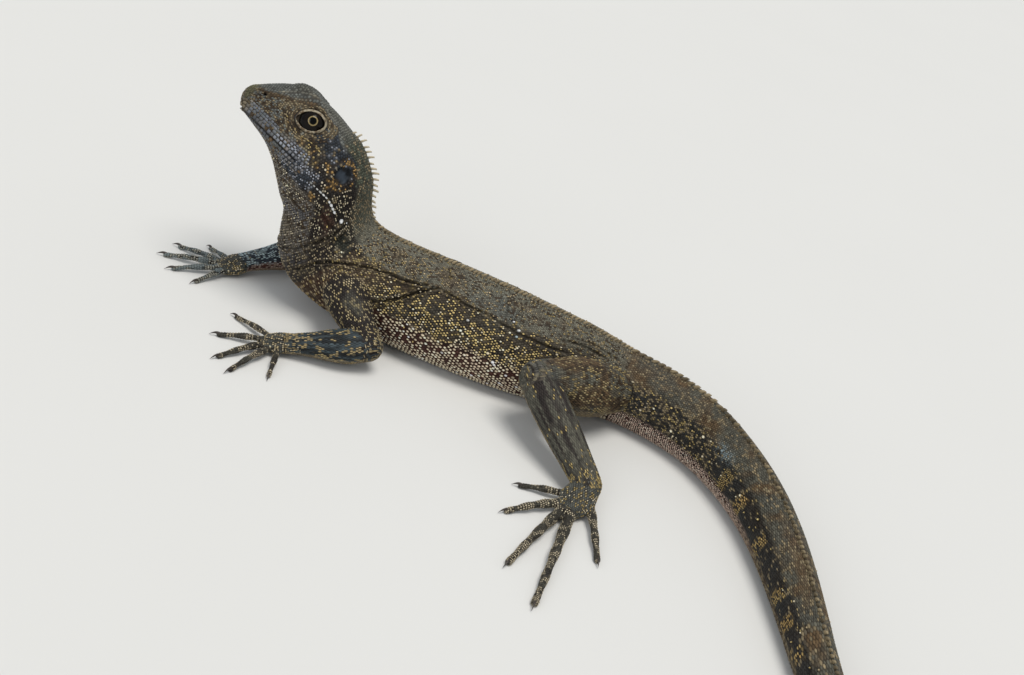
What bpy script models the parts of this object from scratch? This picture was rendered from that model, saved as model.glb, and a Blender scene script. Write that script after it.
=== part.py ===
"""Australian water dragon at rest, head raised and tail laid in a curve, as a life-size still model.

Every size below is in millimetres for an animal of 200 mm from snout to vent. SNOUT_VENT scales them all.
The head looks towards -X, the animal's left side faces -Y, and the floor is at Z = 0 under the belly.
"""

import math
from collections import namedtuple

import bmesh
import bpy
import numpy as np
from mathutils import Matrix, Vector
from mathutils.bvhtree import BVHTree

SNOUT_VENT = 0.200
MM = SNOUT_VENT / 200.0
GAP = 0.3

# The head's own frame: its origin at the snout tip, h running back along the mouth line and u up across it.
SNOUT = Vector((-111.4, 0.0, 68.5))
SNOUT_ASIDE = -2.3
HEAD_PITCH = math.radians(23.5)
HEAD_YAW = math.radians(5.0)
HEAD_ROLL = math.radians(-18.0)

BODY_SIDES = 24
TAIL_SIDES = 18
HEAD_SIDES = 36
BODY_STEP = 5.0
TAIL_STEP = 6.5
HEAD_STEP = 1.8

Station = namedtuple("Station", "back belly half_width widest roof keel turn")

# Head sections from the snout tip back to the nape, with back and belly points as (h, u).
# Widest is the share of the depth above the widest level. Roof and keel under 2 make a ridge, over 2 a flat.
HEAD_STATIONS = (
    Station((-2.0, 5.2), (-0.9, 2.2), 2.0, 0.50, 2.0, 2.0, 1.0),
    Station((-1.5, 7.7), (1.0, -0.2), 3.8, 0.60, 2.2, 2.2, 1.0),
    Station((1.2, 11.2), (4.2, -1.4), 5.2, 0.70, 2.2, 2.2, 1.0),
    Station((4.4, 14.5), (7.0, -1.9), 6.5, 0.75, 2.3, 2.2, 1.0),
    Station((8.3, 18.1), (10.0, -2.5), 7.9, 0.77, 2.6, 2.2, 1.0),
    Station((12.6, 21.4), (13.0, -3.1), 9.3, 0.77, 2.9, 2.2, 1.0),
    Station((17.8, 23.1), (16.8, -4.2), 10.8, 0.74, 3.0, 2.2, 1.0),
    Station((24.0, 23.2), (20.5, -5.9), 12.0, 0.70, 2.8, 2.2, 1.0),
    Station((30.0, 23.0), (24.0, -8.0), 13.2, 0.65, 2.6, 2.2, 1.0),
    Station((36.5, 22.1), (27.3, -10.4), 14.4, 0.615, 2.4, 2.2, 1.0),
    Station((43.0, 20.8), (30.6, -12.9), 15.2, 0.58, 2.2, 2.2, 1.0),
    Station((50.0, 17.6), (34.0, -15.5), 15.2, 0.54, 2.0, 2.2, 1.0),
)

# Neck and trunk sections, with back and belly points as (x, z).
TRUNK_STATIONS = (
    Station((-54.4, 57.5), (-84.0, 36.4), 14.9, 0.50, 2.0, 2.1, 0.80),
    Station((-53.0, 51.5), (-83.2, 27.5), 14.6, 0.50, 1.9, 2.1, 0.50),
    Station((-51.5, 46.0), (-81.8, 18.5), 15.2, 0.50, 1.9, 2.1, 0.22),
    Station((-48.5, 41.8), (-76.0, 10.0), 17.0, 0.52, 1.8, 2.2, 0.07),
    Station((-43.0, 39.4), (-64.0, 3.8), 19.0, 0.55, 1.8, 2.3, 0.0),
    Station((-34.0, 38.4), (-46.0, 0.6), 20.4, 0.58, 1.75, 2.5, 0.0),
    Station((-20.0, 37.8), (-26.0, -0.7), 22.0, 0.60, 1.75, 2.7, 0.0),
    Station((-2.0, 37.0), (-4.0, -0.9), 23.2, 0.62, 1.75, 2.8, 0.0),
    Station((18.0, 35.7), (18.0, -0.9), 22.6, 0.62, 1.75, 2.8, 0.0),
    Station((36.0, 34.2), (36.0, -0.9), 19.4, 0.61, 1.8, 2.6, 0.0),
    Station((50.0, 32.4), (51.0, -0.7), 15.8, 0.58, 1.9, 2.4, 0.0),
    Station((62.0, 30.2), (62.0, -0.6), 13.2, 0.56, 2.0, 2.3, 0.0),
)
NAPE = len(HEAD_STATIONS)
WITHERS = len(HEAD_STATIONS) + 3
VENT = len(HEAD_STATIONS) + len(TRUNK_STATIONS) - 1

# The tail's line on the floor from the vent to the tip, then its depth and width at lengths from the vent.
TAIL_ROUTE = ((62, 0), (80, -3), (97, -11), (112, -26), (124.5, -47), (133.5, -73), (140, -99.5), (146, -126.5),
              (153.5, -152.5), (166, -177), (186, -199), (213, -214), (246, -220), (281, -217), (315, -206),
              (345, -190), (362, -178))
TAIL_LENGTHS = (0, 25, 60, 110, 165, 230, 300, 370, 445)
TAIL_DEPTHS = (30.8, 29.0, 25.6, 21.6, 17.0, 12.2, 7.6, 4.4, 1.7)
TAIL_WIDTHS = (26.4, 23.8, 21.0, 18.4, 14.2, 9.8, 6.4, 3.9, 1.7)
TAIL_SINK = 0.6
TAIL_CUTS = (0.12, 0.24, 0.36, 0.48, 0.60, 0.72, 0.85, 1.0)
TAIL_KEYS = 22

# Eye, ear and nostril places in the head frame, as (h, side, u), and their sizes.
EYE_CENTRE = (25.6, 8.4, 14.1)
EYE_AXIS = (-0.08, 0.985, 0.12)
EYE_RADIUS = 5.4
LID_SPAN = (5.2, 3.9)
LID_RISE = 3.7
LID_THICKNESS = 0.95
EAR_PLACE = (47.0, 7.2)
EAR_SPAN = (3.0, 3.8)
EAR_DEPTH = 1.5
NOSTRIL_PLACE = (5.8, 9.0)
NOSTRIL_RADIUS = 0.75
MOUTH_START, MOUTH_END = 1.6, 32.5
LIP_RISE = 0.85
LIP_RADIUS = 0.62

# The crest: tall spines on the nape, low ones along the back and a saw edge on the tail.
CREST_START = 39.0
NUCHAL_RUN, NUCHAL_SPACING, NUCHAL_HEIGHT = 36.0, 2.4, 2.6
BACK_SPACING, BACK_HEIGHT = 3.8, 1.3
TAIL_SPACING, TAIL_HEIGHT, TAIL_CREST_SHARE = 5.4, 1.9, 0.72
SPINE_SINK = 1.3
SPINE_CLEARANCE = 3.2

Bump = namedtuple("Bump", "line width amount push")

# Swellings and hollows of the head, each along a line of (h, side, u) points, pushed along (h, side, u).
HEAD_FORMS = (
    Bump(((12, 6.0, 19.8), (16.5, 7.2, 21.0), (20, 8.0, 20.8), (23.5, 8.8, 19.8)), 2.5, 2.6, (0, 0.3, 0.95)),
    Bump(((26, 9.4, 19.6), (30, 10.0, 19.0), (34, 10.2, 18.4)), 2.0, 1.0, (0, 0.4, 0.9)),
    Bump(((1, 4.0, 9.4), (5, 5.2, 13.0), (9.5, 5.4, 17.0)), 1.5, 0.25, (0, 0.7, 0.7)),
    Bump(((14, 0, 21), (38, 0, 22)), 3.6, -0.8, (0, 0, 1)),
    Bump(((25.6, 12.5, 13.5),), 6.5, 0.7, (0, 1, 0)),
    Bump(((10, 8, 8), (20, 11.0, 8)), 2.6, -0.9, (0, 1, 0)),
    Bump(((38, 15, -2), (45, 16, -3)), 6.0, 1.5, (0, 1, 0)),
    Bump(((36, 14.5, 10), (42, 15.0, 10)), 3.0, -0.6, (0, 1, 0)),
)

Limb = namedtuple("Limb", "name root joint bend wrist palm radii digits")
Digit = namedtuple("Digit", "root tip radius claw")

# A limb's points from its root inside the trunk to the end of the palm or sole. Its radii are (across, high)
# at five places along each of its upper part, its lower part and its foot.
FORE_RADII = (((6.2, 7.0), (8.4, 8.6), (7.6, 7.8), (6.2, 6.4), (5.6, 5.6)),
              ((5.9, 5.8), (7.0, 6.7), (6.6, 6.0), (5.0, 4.7), (4.2, 3.9)),
              ((4.2, 3.9), (4.8, 3.6), (5.6, 3.4), (5.5, 3.0), (4.6, 2.5)))
HIND_RADII = (((8.0, 9.0), (11.0, 11.2), (11.4, 11.4), (9.4, 9.6), (7.2, 7.6)),
              ((7.2, 7.2), (7.6, 7.4), (7.2, 6.9), (6.3, 6.0), (5.4, 5.0)),
              ((5.4, 4.9), (5.8, 4.4), (6.4, 3.9), (6.2, 3.3), (5.2, 2.7)))
LIMBS = (
    Limb("left_fore", (-60, -3, 22), (-55, -13, 20), (-32.5, -36, 9.5), (-58.5, -46, 5.0), (-67.5, -47.2, 2.6),
         FORE_RADII,
         (Digit((-66, -44.5), (-83.5, -35.5), 1.35, 3.2), Digit((-67.5, -46.5), (-84.5, -52.0), 1.45, 3.4),
          Digit((-67, -48.5), (-79.5, -66.0), 1.5, 3.4), Digit((-65, -50), (-73.0, -71.5), 1.45, 3.4),
          Digit((-62.5, -50), (-60.3, -66.0), 1.3, 3.0))),
    Limb("right_fore", (-60, 3, 20), (-58, 12, 18), (-70, 26, 9.5), (-93, 1.5, 5.2), (-100, -5.5, 2.6),
         FORE_RADII,
         (Digit((-98, -7), (-105.5, -21.0), 1.35, 3.2), Digit((-100, -7), (-116.0, -18.0), 1.45, 3.4),
          Digit((-101, -5), (-122.5, -10.0), 1.5, 3.4), Digit((-100, -3), (-120.5, 0.5), 1.45, 3.4),
          Digit((-97, -1.5), (-110.5, 8.5), 1.3, 3.0))),
    Limb("left_hind", (68, -3, 18), (60, -12, 16), (30, -34, 21.6), (60, -66, 6.0), (56.5, -80, 2.8),
         HIND_RADII,
         (Digit((54, -72), (37.5, -74.5), 1.5, 3.0), Digit((53, -78), (35.5, -92.5), 1.7, 3.2),
          Digit((54, -81), (41.0, -120.0), 1.9, 3.6), Digit((57, -82), (52.5, -135.5), 2.0, 3.8),
          Digit((62, -70), (69.5, -101.0), 1.7, 3.2))),
    Limb("right_hind", (68, 3, 16), (60, 11, 13.5), (24, 27, 10.0), (58.5, 39, 5.6), (48, 48.5, 2.8),
         HIND_RADII,
         (Digit((51, 43.5), (35.0, 42.0), 1.5, 3.0), Digit((48.5, 46.5), (27.0, 47.0), 1.7, 3.2),
          Digit((48, 48.5), (10.5, 52.5), 1.9, 3.6), Digit((49, 50.5), (-3.0, 61.0), 2.0, 3.8),
          Digit((57, 47), (43.5, 64.0), 1.7, 3.2))),
)
LIMB_SIDES = 12
LIMB_STEP = 4.2
DIGIT_SIDES = 6
DIGIT_RINGS = 6

Material = namedtuple("Material", "colour roughness")
FINISHES = {
    "head_skin": Material((0.145, 0.130, 0.092), 0.62),
    "body_skin": Material((0.120, 0.108, 0.062), 0.60),
    "tail_skin": Material((0.105, 0.092, 0.050), 0.60),
    "limb_skin": Material((0.085, 0.095, 0.080), 0.60),
    "eye": Material((0.050, 0.030, 0.018), 0.12),
}


def clear_scene():
    for leftover in list(bpy.data.objects):
        bpy.data.objects.remove(leftover)


def material(name):
    """The Principled material of one finish, made once."""
    if name in bpy.data.materials:
        return bpy.data.materials[name]
    finish = FINISHES[name]
    made = bpy.data.materials.new(name)
    made.use_nodes = True
    shader = made.node_tree.nodes["Principled BSDF"]
    shader.inputs["Base Color"].default_value = (*finish.colour, 1.0)
    shader.inputs["Roughness"].default_value = finish.roughness
    shader.inputs["Metallic"].default_value = 0.0
    return made


def smooth_through(values, knots, at):
    """Reads a smooth curve that passes through the values at the knots."""
    values, knots, at = (np.asarray(a, float) for a in (values, knots, at))
    slopes = np.gradient(values, knots, axis=0)
    cell = np.clip(np.searchsorted(knots, at, side="right") - 1, 0, len(knots) - 2)
    spread = (-1,) + (1,) * (values.ndim - 1)
    step = (knots[cell + 1] - knots[cell]).reshape(spread)
    f = (at - knots[cell]).reshape(spread) / step
    start, end = values[cell], values[cell + 1]
    return (start * (1 + 2 * f) * (1 - f) ** 2 + slopes[cell] * step * f * (1 - f) ** 2
            + end * f ** 2 * (3 - 2 * f) + slopes[cell + 1] * step * f ** 2 * (f - 1))


def run_along(points):
    """Length along a line of points, from 0 at its start."""
    return np.concatenate([[0.0], np.cumsum(np.linalg.norm(np.diff(points, axis=0), axis=1))])


def head_frame(side=1):
    """Carries (h, side, u) of the head to the side view, before the head is turned, with side -1 for the left."""
    c, s = math.cos(HEAD_PITCH), math.sin(HEAD_PITCH)
    return Matrix(((c, 0, s, SNOUT.x), (0, side, 0, 0), (-s, 0, c, SNOUT.z), (0, 0, 0, 1)))


def head_turn():
    """Turns the head aside and tips it, about the snout."""
    turn = Matrix.Rotation(HEAD_YAW, 4, "Z") @ Matrix.Rotation(HEAD_ROLL, 4, "X")
    aside = Vector((0, SNOUT_ASIDE, 0))
    return Matrix.Translation(SNOUT + aside) @ turn @ Matrix.Translation(-SNOUT)


def head_matrix(side):
    """Carries (h, side, u) of the head to its turned place, with side -1 for the left and 1 for the right."""
    return head_turn() @ head_frame(side)


def head_to_side(h, u):
    """A point of the head frame as (x, z) in the side view."""
    point = head_frame() @ Vector((h, 0, u))
    return point.x, point.z


def side_to_head(points):
    """Points of the side view, before the head is turned, as (h, side, u) with the side always positive."""
    back = np.array(head_frame().inverted())
    local = points @ back[:3, :3].T + back[:3, 3]
    return np.stack([local[..., 0], np.abs(local[..., 1]), local[..., 2]], axis=-1)


def section(back, belly, left, half_width, widest, roof, keel, count):
    """A ring of evenly spaced points: from the back line down the left side to the belly and up the right."""
    back, belly, left = (np.asarray(a, float) for a in (back, belly, left))
    angle = np.linspace(0, math.pi, 241)
    lift, out = np.abs(np.cos(angle)), np.sin(angle)
    power = np.where(angle < math.pi / 2, 2 / roof, 2 / keel)
    down = np.where(angle < math.pi / 2, widest * (1 - lift ** power), widest + (1 - widest) * lift ** power)
    outline = np.column_stack([half_width * out ** power, down * np.linalg.norm(belly - back)])
    even = np.linspace(0, run_along(outline)[-1], count // 2 + 1)
    side = np.interp(even, run_along(outline), outline[:, 0])[:, None]
    down = np.interp(even, run_along(outline), down)[:, None]
    middle = back + down * (belly - back)
    return np.concatenate([middle + side * left, (middle - side * left)[-2:0:-1]])


def tail_stations():
    """Key sections of the tail behind the vent, with its two floor coordinates read from the route."""
    route = np.asarray(TAIL_ROUTE, float)
    knots = run_along(route)
    fine = np.linspace(0, knots[-1], 400)
    line = smooth_through(route, knots, fine)
    length = run_along(line)
    heading = np.gradient(line, axis=0)
    heading /= np.linalg.norm(heading, axis=1, keepdims=True)
    shares = (np.arange(TAIL_KEYS) + 1) / TAIL_KEYS
    for share in shares:
        at = share * length[-1]
        x, y, hx, hy = (np.interp(at, length, column) for column in (*line.T, *heading.T))
        depth = smooth_through(TAIL_DEPTHS, TAIL_LENGTHS, [share * TAIL_LENGTHS[-1]])[0]
        width = smooth_through(TAIL_WIDTHS, TAIL_LENGTHS, [share * TAIL_LENGTHS[-1]])[0]
        sink = TAIL_SINK * min(1.0, depth / 12)
        yield share, (x, y, depth - sink), (x, y, -sink), (hy, -hx, 0), width / 2


def key_rings(count):
    """The body's key rings from snout tip to tail tip, and the share of the head's turn that each takes."""
    rings, turns = [], []
    left = (0, -1, 0)
    for s in HEAD_STATIONS:
        (bx, bz), (vx, vz) = head_to_side(*s.back), head_to_side(*s.belly)
        rings.append(section((bx, 0, bz), (vx, 0, vz), left, s.half_width, s.widest, s.roof, s.keel, count))
        turns.append(s.turn)
    for s in TRUNK_STATIONS:
        back, belly = (s.back[0], 0, s.back[1]), (s.belly[0], 0, s.belly[1])
        rings.append(section(back, belly, left, s.half_width, s.widest, s.roof, s.keel, count))
        turns.append(s.turn)
    for share, back, belly, side, half_width in tail_stations():
        ease = min(1.0, share * 4)
        rings.append(section(back, belly, side, half_width, 0.56, 2.0 - 0.1 * ease, 2.3, count))
        turns.append(0.0)
    return np.array(rings), np.array(turns)


def ring_knots(rings):
    """The place of each key ring along the body, by the distance between ring centres."""
    return run_along(rings.mean(axis=1))


def distance_to_line(points, line):
    """Distance of each point from a line of points, or from the one point that it holds."""
    line = np.asarray(line, float)
    if len(line) == 1:
        return np.linalg.norm(points - line[0], axis=-1)
    nearest = np.full(points.shape[:-1], np.inf)
    for start, end in zip(line[:-1], line[1:]):
        along = end - start
        f = np.clip((points - start) @ along / (along @ along), 0, 1)
        nearest = np.minimum(nearest, np.linalg.norm(points - start - f[..., None] * along, axis=-1))
    return nearest


def shape_head(points):
    """Adds the head's swellings and hollows to points of the side view, before the head is turned."""
    local = side_to_head(points)
    push = np.zeros_like(local)
    for form in HEAD_FORMS:
        share = np.exp(-(distance_to_line(local, form.line) / form.width) ** 2)
        push += form.amount * share[..., None] * np.asarray(form.push, float)
    c, s = math.cos(HEAD_PITCH), math.sin(HEAD_PITCH)
    side = np.sign(points[..., 1]) * push[..., 1]
    return points + np.stack([push[..., 0] * c + push[..., 2] * s, side,
                              push[..., 2] * c - push[..., 0] * s], axis=-1)


def body_rings(first, last, step, count):
    """Rings of the skin's outline between two places along the body, shaped, turned and flat on the floor."""
    keys, turns = key_rings(count)
    knots = ring_knots(keys)
    at = np.linspace(first, last, max(2, round((last - first) / step) + 1))
    rings = shape_head(smooth_through(keys, knots, at))
    turn, share = np.array(head_turn()), np.interp(at, knots, turns)[:, None, None]
    rings = (1 - share) * rings + share * (rings @ turn[:3, :3].T + turn[:3, 3])
    rings[..., 2] = np.maximum(rings[..., 2], 0.0)
    return rings


def loft_mesh(rings):
    """A closed mesh through rings of equal count, with a point at the middle of each end."""
    count = len(rings[0])
    bm = bmesh.new()
    loops = [[bm.verts.new(point) for point in ring] for ring in rings]
    for near, far in zip(loops[:-1], loops[1:]):
        for i in range(count):
            j = (i + 1) % count
            bm.faces.new((near[i], near[j], far[j], far[i]))
    for loop in (loops[0], loops[-1]):
        middle = bm.verts.new(sum((v.co for v in loop), Vector()) / count)
        for i in range(count):
            bm.faces.new((loop[i], loop[(i + 1) % count], middle))
    face_outwards(bm)
    return bm


def face_outwards(bm):
    bm.normal_update()
    bmesh.ops.recalc_face_normals(bm, faces=bm.faces)


def object_from(bm, name):
    """An object from a mesh built in the sizes above, brought to metres."""
    face_outwards(bm)
    bmesh.ops.scale(bm, vec=(MM, MM, MM), verts=bm.verts)
    mesh = bpy.data.meshes.new(name)
    bm.to_mesh(mesh)
    bm.free()
    return bpy.data.objects.new(name, mesh)


def loft(name, rings):
    return object_from(loft_mesh(rings), name)


def ring_normal(ring):
    quarter = len(ring) // 4
    normal = np.cross(ring[2 * quarter] - ring[0], ring[3 * quarter] - ring[quarter])
    return normal / np.linalg.norm(normal)


def parted(rings, at_start, at_end):
    """The rings, with each end that meets a neighbour made flat and half a gap short of the cut."""
    rings = np.array(rings)
    for inner, end, wanted in ((1, 0, at_start), (-2, -1, at_end)):
        if wanted:
            normal, middle = ring_normal(rings[end]), rings[end].mean(axis=0)
            normal *= math.copysign(1.0, normal @ (middle - rings[inner].mean(axis=0)))
            rings[end] -= np.outer((rings[end] - middle) @ normal + GAP / 2, normal)
    return rings


def boolean(target, others, operation):
    """Joins to the target, or cuts from it, every one of the other objects, and removes them."""
    scene = bpy.context.scene.collection
    group = bpy.data.collections.new("others")
    scene.children.link(group)
    for other in others:
        group.objects.link(other)
    if target.name not in scene.objects:
        scene.objects.link(target)
    modifier = target.modifiers.new("join", "BOOLEAN")
    modifier.operation = operation
    modifier.operand_type = "COLLECTION"
    modifier.collection = group
    modifier.solver = "MANIFOLD"
    bpy.context.view_layer.update()
    result = bpy.data.meshes.new_from_object(target.evaluated_get(bpy.context.evaluated_depsgraph_get()))
    target.modifiers.remove(modifier)
    target.data = result
    for other in others:
        bpy.data.objects.remove(other)
    bpy.data.collections.remove(group)
    keep_largest(target)


def keep_largest(target):
    """Drops every closed surface of a mesh but the largest."""
    bm = bmesh.new()
    bm.from_mesh(target.data)
    unseen, surfaces = set(bm.verts), []
    while unseen:
        found, front = set(), [unseen.pop()]
        while front:
            vertex = front.pop()
            found.add(vertex)
            for edge in vertex.link_edges:
                other = edge.other_vert(vertex)
                if other in unseen:
                    unseen.discard(other)
                    front.append(other)
        surfaces.append(found)
    surfaces.sort(key=len, reverse=True)
    for loose in surfaces[1:]:
        bmesh.ops.delete(bm, geom=list(loose), context="VERTS")
    bm.to_mesh(target.data)
    bm.free()


def finish(target, finish_name):
    """Links a node to the model and gives it its material and smooth shading."""
    model = bpy.data.collections.get("water_dragon")
    if model is None:
        model = bpy.data.collections.new("water_dragon")
        bpy.context.scene.collection.children.link(model)
    for group in list(target.users_collection):
        group.objects.unlink(target)
    model.objects.link(target)
    target.data.materials.clear()
    target.data.materials.append(material(finish_name))
    target.data.shade_smooth()
    target.data.set_sharp_from_angle(angle=math.radians(40))


def spine(foot, tip, ahead, long, wide):
    """One crest scale: a four-sided spike on its foot, long along the back and narrow across it."""
    bm = bmesh.new()
    bmesh.ops.create_cone(bm, cap_ends=True, segments=4, radius1=1, radius2=0, depth=1)
    foot, ahead = Vector(foot), Vector(ahead)
    height = Vector(tip) - foot
    across = ahead.cross(height).normalized()
    for v in bm.verts:
        v.co = foot + height * (v.co.z + 0.5) + ahead * (v.co.x * long / 2) + across * (v.co.y * wide / 2)
    return object_from(bm, "spine")


def crest_line():
    """Points along the back every half millimetre, from behind the crown to the crest's end on the tail."""
    knots = ring_knots(key_rings(BODY_SIDES)[0])
    first = np.interp(CREST_START, [s.back[0] for s in HEAD_STATIONS], knots[:len(HEAD_STATIONS)])
    last = knots[VENT] + TAIL_CREST_SHARE * (knots[-1] - knots[VENT])
    rings = body_rings(first, last, 0.5, BODY_SIDES)
    return np.linspace(first, last, len(rings)), rings[:, 0], rings.mean(axis=1)


def spine_size(at, vent, end):
    """Height of the crest and the distance to its next spine, at a length along the back."""
    if at < NUCHAL_RUN:
        arch = math.sin(math.pi * min(1.0, at / NUCHAL_RUN * 0.9 + 0.12))
        return NUCHAL_HEIGHT * (0.5 + 0.5 * arch), NUCHAL_SPACING
    if at < vent:
        return BACK_HEIGHT, BACK_SPACING
    fade, grown = (at - vent) / (end - vent), min(1.0, (at - vent) / 30)
    return (BACK_HEIGHT + (TAIL_HEIGHT - BACK_HEIGHT) * grown) * (1 - 0.7 * fade), TAIL_SPACING


def crest_spines():
    """Every crest spine as its place on the body and the arguments that shape it."""
    places, line, middles = crest_line()
    knots = ring_knots(key_rings(BODY_SIDES)[0])
    length = run_along(line)
    vent = np.interp(knots[VENT], places, length)
    rng = np.random.default_rng(7)
    at, spines = 0.6, []
    while at < length[-1] - 2:
        vary = 1 + 0.16 * rng.uniform(-1, 1)
        height, spacing = spine_size(at, vent, length[-1])
        foot, ahead, middle = (np.array([np.interp(a, length, c) for c in curve.T])
                               for a, curve in ((at, line), (at + 0.8, line), (at, middles)))
        ahead = (ahead - foot) / np.linalg.norm(ahead - foot)
        up = foot - middle
        up -= ahead * (up @ ahead)
        up /= np.linalg.norm(up)
        tip = foot + up * height * vary + ahead * height * 0.4
        shape = (foot - up * SPINE_SINK, tip, ahead, 2.0 + 0.7 * height, 1.5)
        spines.append((np.interp(at, length, places), at, shape))
        at += spacing * vary
    return spines


def own_spines(first, last):
    """The spines of one node, leaving out those that would reach over its cuts."""
    places, line, _ = crest_line()
    length = run_along(line)
    start, end = (np.interp(place, places, length) for place in (first, last))
    clear = SPINE_CLEARANCE
    return [spine(*shape) for place, at, shape in crest_spines()
            if first <= place < last and (at - start > clear or first < places[0]) and end - at > clear]


def body_nodes():
    """Neck, torso and the lengths of the tail, each lofted between two cuts and joined to its spines."""
    knots = ring_knots(key_rings(BODY_SIDES)[0])
    lengths = [("neck", knots[NAPE], knots[WITHERS], BODY_STEP * 0.7, BODY_SIDES, "body_skin"),
               ("torso", knots[WITHERS], knots[VENT], BODY_STEP, BODY_SIDES, "body_skin")]
    start = knots[VENT]
    for number, share in enumerate(TAIL_CUTS, 1):
        end = knots[VENT] + share * (knots[-1] - knots[VENT])
        lengths.append((f"tail_{number}", start, end, TAIL_STEP, TAIL_SIDES, "tail_skin"))
        start = end
    for name, start, end, step, sides, skin in lengths:
        node = loft(name, parted(body_rings(start, end, step, sides), True, end < knots[-1]))
        spines = own_spines(start, end)
        if spines:
            boolean(node, spines, "UNION")
        finish(node, skin)


def on_head(tree, side, place, axis=(0, 1, 0)):
    """Where a ray along the axis meets the head at (h, u), with the surface's own normal there."""
    frame = head_matrix(side)
    outward = (frame.to_3x3() @ Vector(axis)).normalized()
    level = frame @ Vector((place[0], 0, place[1]))
    hit, normal, _, _ = tree.ray_cast(level + outward * 40, -outward)
    return hit, normal


def rim(centre, axis, span, thickness, ring_sides=18, sides=6):
    """An oval ring round an axis, such as a lid's edge, with its longer span along the head."""
    forward = head_matrix(1).to_3x3() @ Vector((-1, 0, 0))
    across = axis.cross(forward).normalized()
    forward = across.cross(axis).normalized()
    bm = bmesh.new()
    loops = []
    for turn in np.linspace(0, 2 * math.pi, ring_sides, endpoint=False):
        out = forward * (math.cos(turn) * span[0]) + across * (math.sin(turn) * span[1])
        spoke = out.normalized()
        loops.append([bm.verts.new(centre + out + (spoke * math.cos(a) + axis * math.sin(a)) * thickness)
                      for a in np.linspace(0, 2 * math.pi, sides, endpoint=False)])
    for near, far in zip(loops, loops[1:] + loops[:1]):
        for i in range(sides):
            bm.faces.new((near[i], near[(i + 1) % sides], far[(i + 1) % sides], far[i]))
    return object_from(bm, "rim")


def ball(centre, radii, axis=Vector((0, 0, 1)), detail=16):
    """An ellipsoid with its radii along the head, across it and along the axis."""
    bm = bmesh.new()
    bmesh.ops.create_uvsphere(bm, u_segments=detail, v_segments=detail // 2, radius=1)
    forward = head_matrix(1).to_3x3() @ Vector((-1, 0, 0))
    across = axis.cross(forward).normalized()
    forward = across.cross(axis).normalized()
    for v in bm.verts:
        v.co = centre + forward * (v.co.x * radii[0]) + across * (v.co.y * radii[1]) + axis * (v.co.z * radii[2])
    return object_from(bm, "ball")


def lip_line(tree, rise):
    """Points on the head along the mouth, from its left corner round the snout to the right one."""
    backs = MOUTH_START + (MOUTH_END - MOUTH_START) * np.array([1.0, 0.86, 0.71, 0.56, 0.42, 0.29, 0.18, 0.09])
    left, right = ([on_head(tree, side, (h, rise))[0] for h in backs] for side in (-1, 1))
    frame = head_matrix(1)
    ahead = frame.to_3x3() @ Vector((-1, 0, 0))
    middle = tree.ray_cast(frame @ Vector((0, 0, rise)) + ahead * 30, -ahead)[0]
    return [np.array(point) for point in left + [middle] + right[::-1]]


def lip(tree, rise):
    """A rounded lip along the mouth, thinner towards its corners."""
    points = np.array(lip_line(tree, rise))
    up = np.array(head_matrix(1).to_3x3() @ Vector((0, 0, 1)))
    rings = []
    for i, (point, heading) in enumerate(zip(points, np.gradient(points, axis=0))):
        side = np.cross(up, heading)
        side /= np.linalg.norm(side)
        size = LIP_RADIUS * (0.45 if i in (0, len(points) - 1) else 1.0)
        rings.append([point + size * (math.cos(a) * side + math.sin(a) * up)
                      for a in np.linspace(0, 2 * math.pi, 6, endpoint=False)])
    return loft("lip", rings)


def mouth_cutter(tree):
    """A thin wedge that parts the lips along the mouth line."""
    frame = head_matrix(1)
    heart = np.array(frame @ Vector((MOUTH_END, 0, 0)))
    up = np.array(frame.to_3x3() @ Vector((0, 0, 1)))
    rings = []
    for point in lip_line(tree, 0.0):
        inward = (heart - point) / np.linalg.norm(heart - point)
        rings.append([point - inward * 1.8 + up * 0.42, point - inward * 1.8 - up * 0.42,
                      point + inward * 1.0 - up * 0.14, point + inward * 1.0 + up * 0.14])
    return loft("mouth_cutter", rings)


def head_and_eyes():
    """The head with its lids, ear cups, nostrils, lips and first crest spines, and the eyes in their sockets."""
    knots = ring_knots(key_rings(HEAD_SIDES)[0])
    bm = loft_mesh(parted(body_rings(knots[0], knots[NAPE], HEAD_STEP, HEAD_SIDES), False, True))
    tree = BVHTree.FromBMesh(bm)
    head = object_from(bm, "head")
    added = [lip(tree, LIP_RISE), lip(tree, -LIP_RISE)]
    cut = [mouth_cutter(tree)]
    for side, name in ((-1, "left_eye"), (1, "right_eye")):
        frame = head_matrix(side)
        axis, centre = (frame.to_3x3() @ Vector(EYE_AXIS)).normalized(), frame @ Vector(EYE_CENTRE)
        added.append(rim(centre + axis * LID_RISE, axis, LID_SPAN, LID_THICKNESS))
        cut.append(ball(centre, (EYE_RADIUS + GAP,) * 3, axis, 20))
        eye = ball(centre, (EYE_RADIUS,) * 3, axis, 18)
        eye.name = name
        finish(eye, "eye")
        place, normal = on_head(tree, side, EAR_PLACE)
        added.append(rim(place - normal * 0.45, normal, (EAR_SPAN[0] + 0.6, EAR_SPAN[1] + 0.6), 1.0, 14, 5))
        cut.append(ball(place + normal * 0.5, (*EAR_SPAN, EAR_DEPTH + 0.5), normal, 12))
        place, normal = on_head(tree, side, NOSTRIL_PLACE)
        added.append(rim(place - normal * 0.2, normal, (1.4, 1.1), 0.65, 9, 5))
        cut.append(ball(place, (NOSTRIL_RADIUS, NOSTRIL_RADIUS, 1.6), normal, 7))
    boolean(head, added + own_spines(knots[0], knots[NAPE]), "UNION")
    boolean(head, cut, "DIFFERENCE")
    finish(head, "head_skin")


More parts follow.
